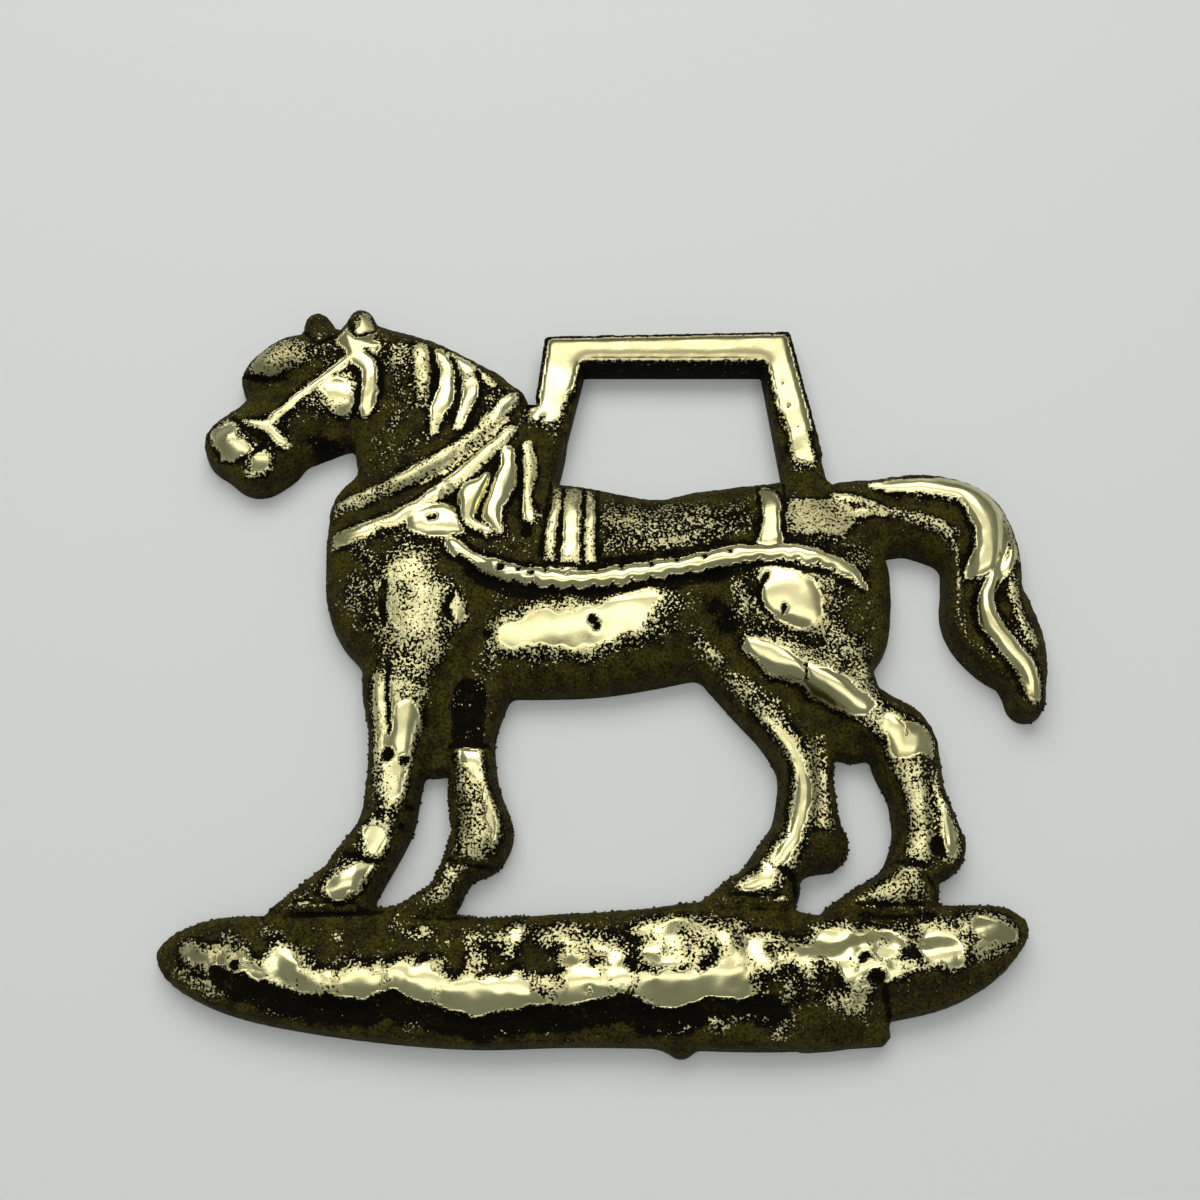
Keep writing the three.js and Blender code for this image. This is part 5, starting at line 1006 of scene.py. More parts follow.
@dataclass
class Casting:
    """The one solid piece of the horse brass, meshed from its relief."""

    relief: Relief
    step: float = 0.25  # spacing of the face's vertices
    wall_spacing: float = 0.3  # spacing of the outline's vertices
    shoulder: float = 0.5  # how far the top of the wall stands in from its foot
    wall_turn: float = 1.4  # height where the wall starts to lean in
    wall_lean: float = 0.12
    gap: float = 0.16  # least space between the wall's top ring and the face's grid
    smoothing: float = 0.8  # grid cells over which the finished face is eased
    wall_polish: float = -0.2  # the most that the walls and the back are rubbed
    low: tuple[float, float] = (-48.13, -50.87)  # corners of the grid that the face is sampled on
    high: tuple[float, float] = (50.6, 37.4)

    def sample(self) -> None:
        """Samples outline, height and wear on the grid."""
        xs = np.arange(self.low[0], self.high[0], self.step)
        ys = np.arange(self.low[1], self.high[1], self.step)
        x, y = np.meshgrid(xs, ys)
        self.x, self.y = x, y
        self.distance = self.relief.outline(x, y)
        self.height = blur(self.relief.height(x, y, self.distance), self.smoothing)
        wear = WearMap(self.relief)
        polish = wear.polish(x, y, self.distance, self.height, self.step)
        origin = (xs[0], ys[0])
        self.height_field = Field2D(self.height, origin, self.step)
        values = {"polish": polish, "soot_and_shade": wear.soot_and_shade(polish, x, y), "tarnish_and_dark_reflection": wear.tarnish_and_dark_reflection(x, y)}
        self.wear_fields = {label: Field2D(grid, origin, self.step) for label, grid in values.items()}

    def slide(self, points: np.ndarray, wanted: np.ndarray) -> np.ndarray:
        """Moves points along the outline's slope until their distance is the one wanted.

        Args:
            points: The points' x and y.
            wanted: The outline distance that each ends at.

        Returns:
            The moved points.
        """
        h = 0.02
        for _ in range(4):
            x, y = points[:, 0], points[:, 1]
            gx = (self.relief.outline(x + h, y) - self.relief.outline(x - h, y)) / (2 * h)
            gy = (self.relief.outline(x, y + h) - self.relief.outline(x, y - h)) / (2 * h)
            size = np.maximum(gx * gx + gy * gy, 0.25)
            miss = np.clip(self.relief.outline(x, y) - wanted, -0.4, 0.4)
            points = points - np.column_stack([miss * gx / size, miss * gy / size])
        return points

    def loops(self) -> list[np.ndarray]:
        """Finds the closed loops where the outline distance is zero.

        Returns:
            The points of each loop, with the metal on their left.
        """
        solid = self.distance < 0
        mixed = np.argwhere((solid[:-1, :-1] != solid[:-1, 1:]) | (solid[:-1, :-1] != solid[1:, :-1])
                            | (solid[1:, 1:] != solid[:-1, 1:]) | (solid[1:, 1:] != solid[1:, :-1]))
        following: dict[tuple, tuple] = {}
        for r, c in mixed:
            corners = [(r, c), (r, c + 1), (r + 1, c + 1), (r + 1, c)]
            starts, ends = [], []
            for a, b in zip(corners, corners[1:] + corners[:1]):
                if solid[a] != solid[b]:
                    (starts if solid[a] else ends).append(tuple(sorted((a, b))))
            following.update(zip(starts, ends))
        loops = []
        while following:
            edge = next(iter(following))
            row = []
            while edge in following:
                (ra, ca), (rb, cb) = edge
                da, db = self.distance[ra, ca], self.distance[rb, cb]
                t = da / (da - db)
                row.append((self.x[ra, ca] + t * (self.x[rb, cb] - self.x[ra, ca]),
                            self.y[ra, ca] + t * (self.y[rb, cb] - self.y[ra, ca])))
                edge = following.pop(edge)
            loops.append(np.array(row))
        return loops

    def even(self, loop: np.ndarray) -> np.ndarray:
        """Resamples a loop to even spacing.

        Args:
            loop: The points of a closed loop.

        Returns:
            The same loop with points about wall_spacing apart.
        """
        closed = np.vstack([loop, loop[:1]])
        run = np.concatenate([[0], np.cumsum(np.hypot(*np.diff(closed, axis=0).T))])
        count = max(12, int(run[-1] / self.wall_spacing))
        marks = np.arange(count) * run[-1] / count
        return np.column_stack([np.interp(marks, run, closed[:, i]) for i in (0, 1)])

    def zone(self, points: np.ndarray) -> np.ndarray:
        """True where a point of the outline is on the hanger."""
        return (points[:, 1] > 16) & (np.abs(self.relief.hanger(points[:, 0], points[:, 1])) < 0.03)

    def wall_rows(self, foot: np.ndarray) -> list[tuple[np.ndarray, np.ndarray]]:
        """Rows of the wall from its foot to its shoulder.

        Args:
            foot: The loop's points on the back.

        Returns:
            Points and heights of each row.
        """
        bar = self.zone(foot)
        top = self.slide(self.slide(foot, np.full(len(foot), -0.25)), np.where(bar, -0.3, -self.shoulder))
        top_height = self.height_field.at(top)
        keep = np.hypot(*(np.roll(top, -1, axis=0) - top).T) > 0.09
        foot, top, top_height, bar = foot[keep], top[keep], top_height[keep], bar[keep]
        straight = self.relief.hanger_height - self.relief.hanger_bevel
        waist = self.slide(foot, np.where(bar, 0.0, -self.wall_lean))
        waist_height = np.where(bar, straight, self.wall_turn)
        rows = [(foot, np.zeros(len(foot))), ((foot + waist) / 2, waist_height / 2), (waist, waist_height)]
        for share, lift in ((0.3, 0.45), (0.62, 0.78)):
            rows.append((waist + share * (top - waist), waist_height + lift * (top_height - waist_height)))
        rows.append((top, top_height))
        return rows

    def build(self) -> Skin:
        """Meshes the whole casting.

        Returns:
            One closed skin, in drawing millimetres.
        """
        self.sample()
        loops = [self.slide(self.even(loop), np.zeros(1)) for loop in self.loops()]
        loops.sort(key=len, reverse=True)
        walls = [self.wall_rows(loop) for loop in loops]
        points, faces, starts = [], [], []
        total = 0
        for rows in walls:
            n = len(rows[0][0])
            starts.append((total, n))
            for xy, z in rows:
                points.append(np.column_stack([xy, z]))
            for row in range(len(rows) - 1):
                for i in range(n):
                    a, b = total + row * n + i, total + row * n + (i + 1) % n
                    faces.append((a, b, b + n, a + n))
            total += n * len(rows)
        row_count = len(walls[0])
        wall_points = np.vstack(points)
        self.back(wall_points, starts, faces)
        face_points = self.face(wall_points, starts, row_count, faces)
        everything = np.vstack([wall_points, face_points])
        wear = {label: values.at(everything[:, :2]) for label, values in self.wear_fields.items()}
        walls = slice(0, len(wall_points))
        wear["polish"][walls] = np.minimum(wear["polish"][walls], self.wall_polish)
        return Skin(everything, faces, wear)

    def back(self, points: np.ndarray, starts: list[tuple[int, int]], faces: list[tuple[int, ...]]) -> None:
        """Adds the flat back, facing down.

        Args:
            points: The walls' vertices.
            starts: First vertex and length of each loop's rows.
            faces: The list of faces that grows.
        """
        index = np.concatenate([np.arange(s, s + n) for s, n in starts])
        for a, b, c in self.fill(points[index, :2], [n for _, n in starts], None):
            faces.append((int(index[a]), int(index[c]), int(index[b])))

    def face(self, wall: np.ndarray, starts: list[tuple[int, int]], row_count: int,
             faces: list[tuple[int, ...]]) -> np.ndarray:
        """Adds the carved face: a grid inside, and a strip that joins it to the walls.

        Args:
            wall: The walls' vertices.
            starts: First vertex and length of each loop's rows.
            row_count: Rows in each wall.
            faces: The list of faces that grows.

        Returns:
            The face's own vertices.
        """
        deep = self.distance < -(self.shoulder + self.gap)
        cells = deep[:-1, :-1] & deep[:-1, 1:] & deep[1:, :-1] & deep[1:, 1:]
        used = np.zeros(self.distance.shape, bool)
        for r, c in ((0, 0), (0, 1), (1, 0), (1, 1)):
            used[r:r + cells.shape[0], c:c + cells.shape[1]] |= cells
        number = np.full(used.shape, -1)
        number[used] = np.arange(used.sum()) + len(wall)
        rows, columns = np.nonzero(cells)
        quads = np.column_stack([number[rows, columns], number[rows, columns + 1],
                                 number[rows + 1, columns + 1], number[rows + 1, columns]])
        faces.extend(map(tuple, quads.tolist()))
        padded = np.pad(cells, 1)
        border = []
        for r, c in zip(rows, columns):
            if not padded[r, c + 1]:
                border.append((number[r, c], number[r, c + 1]))
            if not padded[r + 2, c + 1]:
                border.append((number[r + 1, c + 1], number[r + 1, c]))
            if not padded[r + 1, c]:
                border.append((number[r + 1, c], number[r, c]))
            if not padded[r + 1, c + 2]:
                border.append((number[r, c + 1], number[r + 1, c + 1]))
        grid = np.column_stack([self.x[used], self.y[used], self.height[used]])
        rings = [np.arange(s + (row_count - 1) * n, s + row_count * n) for s, n in starts]
        stair = sorted({v for edge in border for v in edge})
        ids = np.concatenate(rings + [np.array(stair)])
        everything = np.vstack([wall, grid])
        local = {int(v): i for i, v in enumerate(ids)}
        edges = [(local[int(a)], local[int(b)]) for a, b in border]
        for a, b, c in self.fill(everything[ids, :2], [len(r) for r in rings], edges, cells):
            faces.append((int(ids[a]), int(ids[b]), int(ids[c])))
        return grid

    def fill(self, points: np.ndarray, ring_sizes: list[int], border: list[tuple[int, int]] | None,
             cells: np.ndarray | None = None) -> list[tuple[int, int, int]]:
        """Triangulates between rings, outside the grid's cells.

        Args:
            points: The vertices, with those of the rings first.
            ring_sizes: Vertices in each ring, outermost ring first.
            border: Edges of the grid's border, or None for a plain fill.
            cells: The grid's cells that are already faced.

        Returns:
            Triangles that face up, as rows of vertex numbers.
        """
        edges, rings, first = [], [], 0
        for size in ring_sizes:
            edges += [(first + i, first + (i + 1) % size) for i in range(size)]
            rings.append(points[first:first + size])
            first += size
        edges += border or []
        verts, _, tris, origins, _, _ = delaunay_2d_cdt([Vector(p) for p in points], edges, [], 0, 1e-6)
        if len(verts) != len(points):
            log.warning("fill: %d vertices became %d", len(points), len(verts))
        back = [o[0] if o else -1 for o in origins]
        rows = np.array([[back[v] for v in t] for t in tris])
        middle = points[rows].mean(axis=1)
        inside = sum(self.even_odd(middle, ring).astype(int) for ring in rings) % 2 == 1
        if cells is not None:
            c = ((middle[:, 0] - self.low[0]) / self.step).astype(int)
            r = ((middle[:, 1] - self.low[1]) / self.step).astype(int)
            inside &= ~cells[r, c]
        rows = rows[inside]
        a, b, c = (points[rows[:, i]] for i in range(3))
        turn = (b[:, 0] - a[:, 0]) * (c[:, 1] - a[:, 1]) - (b[:, 1] - a[:, 1]) * (c[:, 0] - a[:, 0])
        rows[turn < 0] = rows[turn < 0][:, ::-1]
        return [tuple(row) for row in rows.tolist()]

    @staticmethod
    def even_odd(points: np.ndarray, ring: np.ndarray) -> np.ndarray:
        """Tests which points a ring goes round.

        Args:
            points: Their x and y.
            ring: The ring's corners in order.

        Returns:
            True for each point inside.
        """
        inside = np.zeros(len(points), bool)
        for (ax, ay), (bx, by) in zip(ring, np.roll(ring, -1, axis=0)):
            if ay != by:
                crosses = (ay > points[:, 1]) != (by > points[:, 1])
                inside ^= crosses & (points[:, 0] < (bx - ax) * (points[:, 1] - ay) / (by - ay) + ax)
        return inside


def place(points: np.ndarray) -> np.ndarray:
    """Moves the drawing to the part's frame, inside the CAD box.

    Args:
        points: Vertices in drawing millimetres.

    Returns:
        The vertices in metres.
    """
    low, high = (np.array(corner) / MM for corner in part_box(NODE))
    foot = points[points[:, 2] < 1e-6]
    middle = (foot.min(axis=0) + foot.max(axis=0)) / 2
    centre = (low + high) / 2
    moved = points - np.array([middle[0], middle[1], 0]) + np.array([centre[0], centre[1], 0])
    return np.clip(moved, low, high) * MM


def to_object(name: str, skin: Skin) -> bpy.types.Object:
    """Makes a Blender object from a skin, with its wear as attributes.

    Args:
        name: The object's name.
        skin: The vertices in metres, the faces and the values.

    Returns:
        The new object, linked to the scene.
    """
    mesh = bpy.data.meshes.new(name)
    mesh.from_pydata(skin.points.tolist(), [], skin.faces)
    mesh.update()
    for label, values in skin.wear.items():
        mesh.attributes.new(label, "FLOAT", "POINT").data.foreach_set("value", values.astype(np.float32))
    mesh.polygons.foreach_set("use_smooth", np.ones(len(mesh.polygons), bool))
    piece = bpy.data.objects.new(name, mesh)
    bpy.context.scene.collection.objects.link(piece)
    return piece


def node(tree: bpy.types.NodeTree, kind: str, **settings: object) -> bpy.types.Node:
    """Adds a node and sets its properties.

    Args:
        tree: The tree that takes it.
        kind: The node's type.
        **settings: Properties by name.

    Returns:
        The new node.
    """
    made = tree.nodes.new(kind)
    for name, value in settings.items():
        setattr(made, name, value)
    return made


@dataclass
class NodeMaths:
    """Short ways to write sums with shader nodes."""

    tree: bpy.types.NodeTree

    def op(self, operation: str, *values: object) -> bpy.types.NodeSocket:
        """Adds one Math node.

        Args:
            operation: What it works out.
            *values: Sockets or numbers.

        Returns:
            The result's socket.
        """
        made = node(self.tree, "ShaderNodeMath", operation=operation)
        for i, value in enumerate(values):
            self.feed(made.inputs[i], value)
        return made.outputs[0]

    def feed(self, socket: bpy.types.NodeSocket, value: object) -> None:
        """Links a socket to a socket, or sets it to a number.

        Args:
            socket: The input.
            value: A socket or a number.
        """
        if isinstance(value, bpy.types.NodeSocket):
            self.tree.links.new(value, socket)
        else:
            socket.default_value = value

    def ramp(self, value: bpy.types.NodeSocket, low: float, high: float, start: float = 0.0,
             end: float = 1.0) -> bpy.types.NodeSocket:
        """Maps low to start and high to end, clamped and smooth between them.

        Args:
            value: The socket that is mapped.
            low: Where the result starts to change.
            high: Where it stops.
            start: The result at low.
            end: The result at high.

        Returns:
            The result's socket.
        """
        made = node(self.tree, "ShaderNodeMapRange", interpolation_type="SMOOTHSTEP")
        self.feed(made.inputs["Value"], value)
        for name, number in (("From Min", low), ("From Max", high), ("To Min", start), ("To Max", end)):
            made.inputs[name].default_value = number
        return made.outputs["Result"]

    def mix(self, share: object, first: object, second: object) -> bpy.types.NodeSocket:
        """Mixes two colours.

        Args:
            share: How much of the second there is.
            first: A socket or a colour.
            second: A socket or a colour.

        Returns:
            The mixed colour's socket.
        """
        made = node(self.tree, "ShaderNodeMix", data_type="RGBA")
        self.feed(made.inputs["Factor"], share)
        self.feed(made.inputs[6], first)
        self.feed(made.inputs[7], second)
        return made.outputs[2]

    def noise(self, where: bpy.types.NodeSocket, per_mm: float, detail: float,
              rough: float) -> bpy.types.NodeSocket:
        """Noise on object coordinates.

        Args:
            where: The coordinates.
            per_mm: Cells in a millimetre.
            detail: Octaves.
            rough: How strong the finer octaves are.

        Returns:
            The noise value, about 0.5 on average.
        """
        made = node(self.tree, "ShaderNodeTexNoise")
        self.tree.links.new(where, made.inputs["Vector"])
        made.inputs["Scale"].default_value = per_mm / MM
        made.inputs["Detail"].default_value = detail
        made.inputs["Roughness"].default_value = rough
        return made.outputs["Fac"]


@dataclass(frozen=True)
class AgedBrass:
    """Pale brass, bright where it is rubbed, with black and olive patina in the hollows, black painted as
    shade and dark reflection in some of them, and straw painted onto bare metal as a darker reflection and
    as dulling.
    """

    bright: tuple[float, float, float, float] = (0.88, 0.81, 0.45, 1)
    warm: tuple[float, float, float, float] = (0.75, 0.67, 0.34, 1)
    # straw: the bare metal painted darker, for dulling and for painted dark reflections
    straw: tuple[float, float, float, float] = (0.36, 0.32, 0.17, 1)
    olive: tuple[float, float, float, float] = (0.078, 0.064, 0.009, 1)
    umber: tuple[float, float, float, float] = (0.043, 0.033, 0.009, 1)
    # black: the dark flecks of the patina, and the painted shade laid over it
    black: tuple[float, float, float, float] = (0.0025, 0.0018, 0.0008, 1)
    grains_per_mm: float = 3.5
    fine_per_mm: float = 3.2
    patch_per_mm: float = 0.55
    tint_per_mm: float = 0.22
    speckle: float = 4.4  # how strongly the grain breaks up the border of the bare metal
    bump_mm: float = 0.25
    bare_roughness: float = 0.16
    patina_roughness: float = 0.62
    specular: float = 0.04

    def build(self) -> bpy.types.Material:
        """Builds the node material.

        Returns:
            The finish, which reads polish, the soot and painted shade, and the tarnish and painted dark
            reflection from the mesh.
        """
        material = bpy.data.materials.new("aged_brass")
        material.use_nodes = True
        tree = material.node_tree
        shader = tree.nodes["Principled BSDF"]
        shader.inputs["Specular IOR Level"].default_value = self.specular
        maths = NodeMaths(tree)
        where = node(tree, "ShaderNodeTexCoord").outputs["Object"]
        polish = attribute(tree, "polish")
        soot_and_shade = attribute(tree, "soot_and_shade")
        grain = maths.noise(where, self.grains_per_mm, 2, 0.6)
        patch = maths.noise(where, self.patch_per_mm, 2, 0.5)
        tint = maths.noise(where, self.tint_per_mm, 3, 0.6)

        swing = maths.op("MULTIPLY", maths.op("SUBTRACT", grain, 0.5), self.speckle)
        drift = maths.op("MULTIPLY", maths.op("SUBTRACT", patch, 0.5), 0.5)
        score = maths.op("ADD", maths.op("ADD", polish, swing), drift)
        bare = maths.ramp(score, 0.5, 0.57)

        fresh = maths.mix(maths.ramp(tint, 0.35, 0.7), self.bright, self.warm)
        # painted dark reflection: straw mixed into the bare metal where it is meant to reflect darker
        # surroundings, together with dulling
        straw_share = maths.op("MULTIPLY", attribute(tree, "tarnish_and_dark_reflection"), maths.ramp(patch, 0.2, 0.6, 0.7, 1.0))
        metal = maths.mix(straw_share, fresh, self.straw)
        open_patina = maths.mix(maths.ramp(patch, 0.35, 0.65), self.olive, self.umber)
        fine = maths.noise(where, self.fine_per_mm, 4, 0.7)
        mottled = maths.mix(maths.ramp(fine, 0.4, 0.56), self.black, open_patina)
        dusted = maths.mix(0.75, open_patina, mottled)
        smudge = maths.op("ADD", maths.op("SUBTRACT", patch, 0.5), maths.op("SUBTRACT", grain, 0.5))
        # black patina: dirt in the creases, and painted shade and dark reflection where the soot attribute
        # carries it
        blackened = maths.ramp(maths.op("ADD", soot_and_shade, maths.op("MULTIPLY", smudge, 1.6)), 0.25, 0.75, 0, 0.93)
        patina = maths.mix(blackened, dusted, self.black)
        tree.links.new(maths.mix(bare, patina, metal), shader.inputs["Base Color"])
        tree.links.new(bare, shader.inputs["Metallic"])
        unsettled = maths.ramp(polish, 0.6, 1.4, 1, 0.04)
        haze = maths.ramp(patch, 0.3, 0.7, self.bare_roughness, self.bare_roughness + 0.1)
        haze = maths.op("ADD", haze, maths.op("MULTIPLY", unsettled, 0.2))
        rough = node(tree, "ShaderNodeMix", data_type="FLOAT")
        maths.feed(rough.inputs["Factor"], bare)
        rough.inputs[2].default_value = self.patina_roughness
        maths.feed(rough.inputs[3], haze)
        tree.links.new(rough.outputs[0], shader.inputs["Roughness"])

        covered = maths.op("SUBTRACT", 1.0, maths.op("MULTIPLY", bare, 0.5))
        coarse = maths.op("MULTIPLY", unsettled, covered)
        slight = maths.op("MULTIPLY", fine, maths.op("MULTIPLY", coarse, 0.6))
        relief = maths.op("ADD", maths.op("MULTIPLY", grain, coarse), slight)
        bump = node(tree, "ShaderNodeBump")
        bump.inputs["Distance"].default_value = self.bump_mm * MM
        bump.inputs["Strength"].default_value = 1
        tree.links.new(relief, bump.inputs["Height"])
        tree.links.new(bump.outputs["Normal"], shader.inputs["Normal"])
        return material


@dataclass
class SandGrain:
    """Geometry Nodes that roughen the cast skin, least where it is polished."""

    depth: float = 0.25  # mm
    smoothest: float = 0.95  # the most of it that polish takes away
    clearance: float = 0.02  # mm above the back from which the skin is roughened
    grains_per_mm: float = 1.3
    seed: int = 7

    def apply(self, piece: bpy.types.Object, material: bpy.types.Material) -> None:
        """Runs the tree on a piece and keeps the result as its plain mesh.

        Args:
            piece: The casting, which holds polish for each vertex.
            material: Its finish.
        """
        tree = new_geometry_tree("sand_grain", Depth="Float", Scale="Float", Seed="Int")
        ends = tree_ends(tree)
        inlet = ends[0].outputs
        position = node(tree, "GeometryNodeInputPosition")
        normal = node(tree, "GeometryNodeInputNormal")
        polish = node(tree, "GeometryNodeInputNamedAttribute", data_type="FLOAT")
        polish.inputs["Name"].default_value = "polish"
        noise = node(tree, "ShaderNodeTexNoise", noise_dimensions="4D")
        noise.inputs["Detail"].default_value = 3
        noise.inputs["Roughness"].default_value = 0.65
        tree.links.new(position.outputs[0], noise.inputs["Vector"])
        tree.links.new(inlet["Scale"], noise.inputs["Scale"])
        tree.links.new(inlet["Seed"], noise.inputs["W"])
        maths = NodeMaths(tree)
        worn = maths.op("MULTIPLY", maths.op("ADD", polish.outputs["Attribute"], 0.1), 1.1)
        rubbed = maths.op("MINIMUM", maths.op("MAXIMUM", worn, 0.0), self.smoothest)
        dull = maths.op("SUBTRACT", 1.0, rubbed)
        swing = maths.op("SUBTRACT", noise.outputs["Fac"], 0.5)
        push = maths.op("MULTIPLY", maths.op("MULTIPLY", swing, dull), inlet["Depth"])
        offset = node(tree, "ShaderNodeVectorMath", operation="SCALE")
        tree.links.new(normal.outputs[0], offset.inputs[0])
        tree.links.new(push, offset.inputs["Scale"])
        above = node(tree, "ShaderNodeSeparateXYZ")
        tree.links.new(position.outputs[0], above.inputs[0])
        lifted = maths.op("GREATER_THAN", above.outputs["Z"], self.clearance * MM)
        move = node(tree, "GeometryNodeSetPosition")
        tree.links.new(inlet["Geometry"], move.inputs["Geometry"])
        tree.links.new(lifted, move.inputs["Selection"])
        tree.links.new(offset.outputs[0], move.inputs["Offset"])
        finish_tree(tree, ends, move.outputs[0], material)
        values = {"Depth": 2 * self.depth * MM, "Scale": self.grains_per_mm / MM, "Seed": self.seed}
        run_tree(piece, tree, values)


@dataclass
class Burrs:
    """Crumbs of flash and sand left along the casting's inner edges, scattered by Geometry Nodes."""

    per_square_mm: float = 2.0
    size: float = 0.19  # mm, radius
    seed: int = 23
    wall: tuple[float, float] = (0.4, 4.2)  # heights between which crumbs sit
    wall_reach: tuple[float, float] = (0.9, 0.3)  # how far in from the outline they thin out
    legs_top: tuple[float, float] = (-11.5, -15)  # y where they begin below the belly
    legs_foot: tuple[float, float] = (-39, -36)
    gaps: tuple[tuple[float, float], ...] = ((23, 31), (-20, -8))  # x of the narrow gaps of the legs
    elsewhere: float = 0.25  # how many there are outside the narrow gaps
    turn: tuple[float, float, float] = (6.3, 6.3, 6.3)  # radians that a crumb may be turned by
    smallest: tuple[float, float, float] = (0.5, 0.5, 0.5)  # least and most stretch of a crumb
    largest: tuple[float, float, float] = (1.5, 1.3, 1.2)

    def edge_values(self, casting: Casting, points: np.ndarray) -> np.ndarray:
        """Where crumbs sit: on the walls between and around the legs.

        Args:
            casting: The casting, for its outline.
            points: The skin's vertices in drawing millimetres.

        Returns:
            0 to 1 for each vertex.
        """
        x, y, z = points.T
        distance = casting.relief.outline(x, y)
        wall = smooth_step(*self.wall_reach, -distance) * (z > self.wall[0]) * (z < self.wall[1])
        legs = smooth_step(*self.legs_top, y) * smooth_step(*self.legs_foot, y)
        narrow = np.logical_or.reduce([(x > low) & (x < high) for low, high in self.gaps])
        return wall * legs * np.where(narrow, 1.0, self.elsewhere)

    def build(self, casting: bpy.types.Object, material: bpy.types.Material) -> bpy.types.Object:
        """Scatters the crumbs over a casting.

        Args:
            casting: The piece whose edge attribute says where crumbs sit.
            material: Their finish.

        Returns:
            The crumbs as one piece.
        """
        piece = bpy.data.objects.new("casting_burrs", casting.data.copy())
        bpy.context.scene.collection.objects.link(piece)
        tree = new_geometry_tree("casting_burrs", Density="Float", Size="Float", Seed="Int")
        ends = tree_ends(tree)
        inlet = ends[0].outputs
        edge = node(tree, "GeometryNodeInputNamedAttribute", data_type="FLOAT")
        edge.inputs["Name"].default_value = "edge"
        maths = NodeMaths(tree)
        scatter = node(tree, "GeometryNodeDistributePointsOnFaces", distribute_method="RANDOM")
        tree.links.new(inlet["Geometry"], scatter.inputs["Mesh"])
        density = maths.op("MULTIPLY", edge.outputs["Attribute"], inlet["Density"])
        tree.links.new(density, scatter.inputs["Density"])
        tree.links.new(inlet["Seed"], scatter.inputs["Seed"])
        crumb = node(tree, "GeometryNodeMeshIcoSphere")
        crumb.inputs["Subdivisions"].default_value = 1
        tree.links.new(inlet["Size"], crumb.inputs["Radius"])
        spin = node(tree, "FunctionNodeRandomValue", data_type="FLOAT_VECTOR")
        spin.inputs[1].default_value = self.turn
        tree.links.new(inlet["Seed"], spin.inputs["Seed"])
        stretch = node(tree, "FunctionNodeRandomValue", data_type="FLOAT_VECTOR")
        stretch.inputs[0].default_value = self.smallest
        stretch.inputs[1].default_value = self.largest
        put = node(tree, "GeometryNodeInstanceOnPoints")
        tree.links.new(scatter.outputs["Points"], put.inputs["Points"])
        tree.links.new(crumb.outputs["Mesh"], put.inputs["Instance"])
        tree.links.new(spin.outputs[0], put.inputs["Rotation"])
        tree.links.new(stretch.outputs[0], put.inputs["Scale"])
        finish_tree(tree, ends, put.outputs[0], material)
        values = {"Density": self.per_square_mm / MM ** 2, "Size": self.size * MM, "Seed": self.seed}
        run_tree(piece, tree, values)
        return piece


def attribute(tree: bpy.types.NodeTree, name: str) -> bpy.types.NodeSocket:
    """A shader's reading of one of the casting's own attributes."""
    return node(tree, "ShaderNodeAttribute", attribute_name=name).outputs["Fac"]


def new_geometry_tree(name: str, **inputs: str) -> bpy.types.NodeTree:
    """Makes a Geometry Nodes tree with a geometry input and output.

    Args:
        name: The tree's name.
        **inputs: The kind of each further input, Float or Int.

    Returns:
        The empty tree.
    """
    tree = bpy.data.node_groups.new(name, "GeometryNodeTree")
    tree.interface.new_socket("Geometry", in_out="INPUT", socket_type="NodeSocketGeometry")
    for label, kind in inputs.items():
        tree.interface.new_socket(label, in_out="INPUT", socket_type=f"NodeSocket{kind}")
    tree.interface.new_socket("Geometry", in_out="OUTPUT", socket_type="NodeSocketGeometry")
    return tree


def tree_ends(tree: bpy.types.NodeTree) -> tuple[bpy.types.Node, bpy.types.Node]:
    """The tree's input and output nodes."""
    return node(tree, "NodeGroupInput"), node(tree, "NodeGroupOutput")


def finish_tree(tree: bpy.types.NodeTree, ends: tuple[bpy.types.Node, bpy.types.Node],
                geometry: bpy.types.NodeSocket, material: bpy.types.Material) -> None:
    """Ends a tree in Realize Instances and Set Material.

    Args:
        tree: The tree.
        ends: Its input and output nodes.
        geometry: What it has made.
        material: The finish of the result.
    """
    real = node(tree, "GeometryNodeRealizeInstances")
    dress = node(tree, "GeometryNodeSetMaterial")
    dress.inputs["Material"].default_value = material
    tree.links.new(geometry, real.inputs[0])
    tree.links.new(real.outputs[0], dress.inputs["Geometry"])
    tree.links.new(dress.outputs[0], ends[1].inputs[0])


def run_tree(piece: bpy.types.Object, tree: bpy.types.NodeTree, values: dict[str, float]) -> None:
    """Applies a Geometry Nodes tree to a piece.

    Args:
        piece: The object that takes the result as its own mesh.
        tree: The tree.
        values: What each named input is set to.
    """
    modifier = piece.modifiers.new(tree.name, "NODES")
    modifier.node_group = tree
    for item in tree.interface.items_tree:
        if item.item_type == "SOCKET" and item.in_out == "INPUT" and item.name in values:
            modifier[item.identifier] = values[item.name]
    graph = bpy.context.evaluated_depsgraph_get()
    result = bpy.data.meshes.new_from_object(piece.evaluated_get(graph), depsgraph=graph)
    piece.modifiers.remove(modifier)
    result.name = piece.name
    piece.data = result


@dataclass(frozen=True)
class Softbox:
    """One rectangular light that faces a target; places and sizes are in metres."""

    name: str
    middle: tuple[float, float, float]
    target: tuple[float, float, float]
    size: tuple[float, float]
    radiance: float  # how bright its surface looks
    color: tuple[float, float, float]
    mirrored: bool = True  # whether polished metal reflects it

    def hang(self) -> None:
        """Adds the light to the scene."""
        data = bpy.data.lights.new(self.name, "AREA")
        data.shape = "RECTANGLE"
        data.size, data.size_y = self.size
        data.energy = self.radiance * math.pi * self.size[0] * self.size[1]
        data.color = self.color
        light = bpy.data.objects.new(self.name, data)
        light.location = self.middle
        direction = Vector(self.target) - Vector(self.middle)
        light.rotation_euler = direction.to_track_quat("-Z", "Y").to_euler()
        light.visible_glossy = self.mirrored
        bpy.context.scene.collection.objects.link(light)


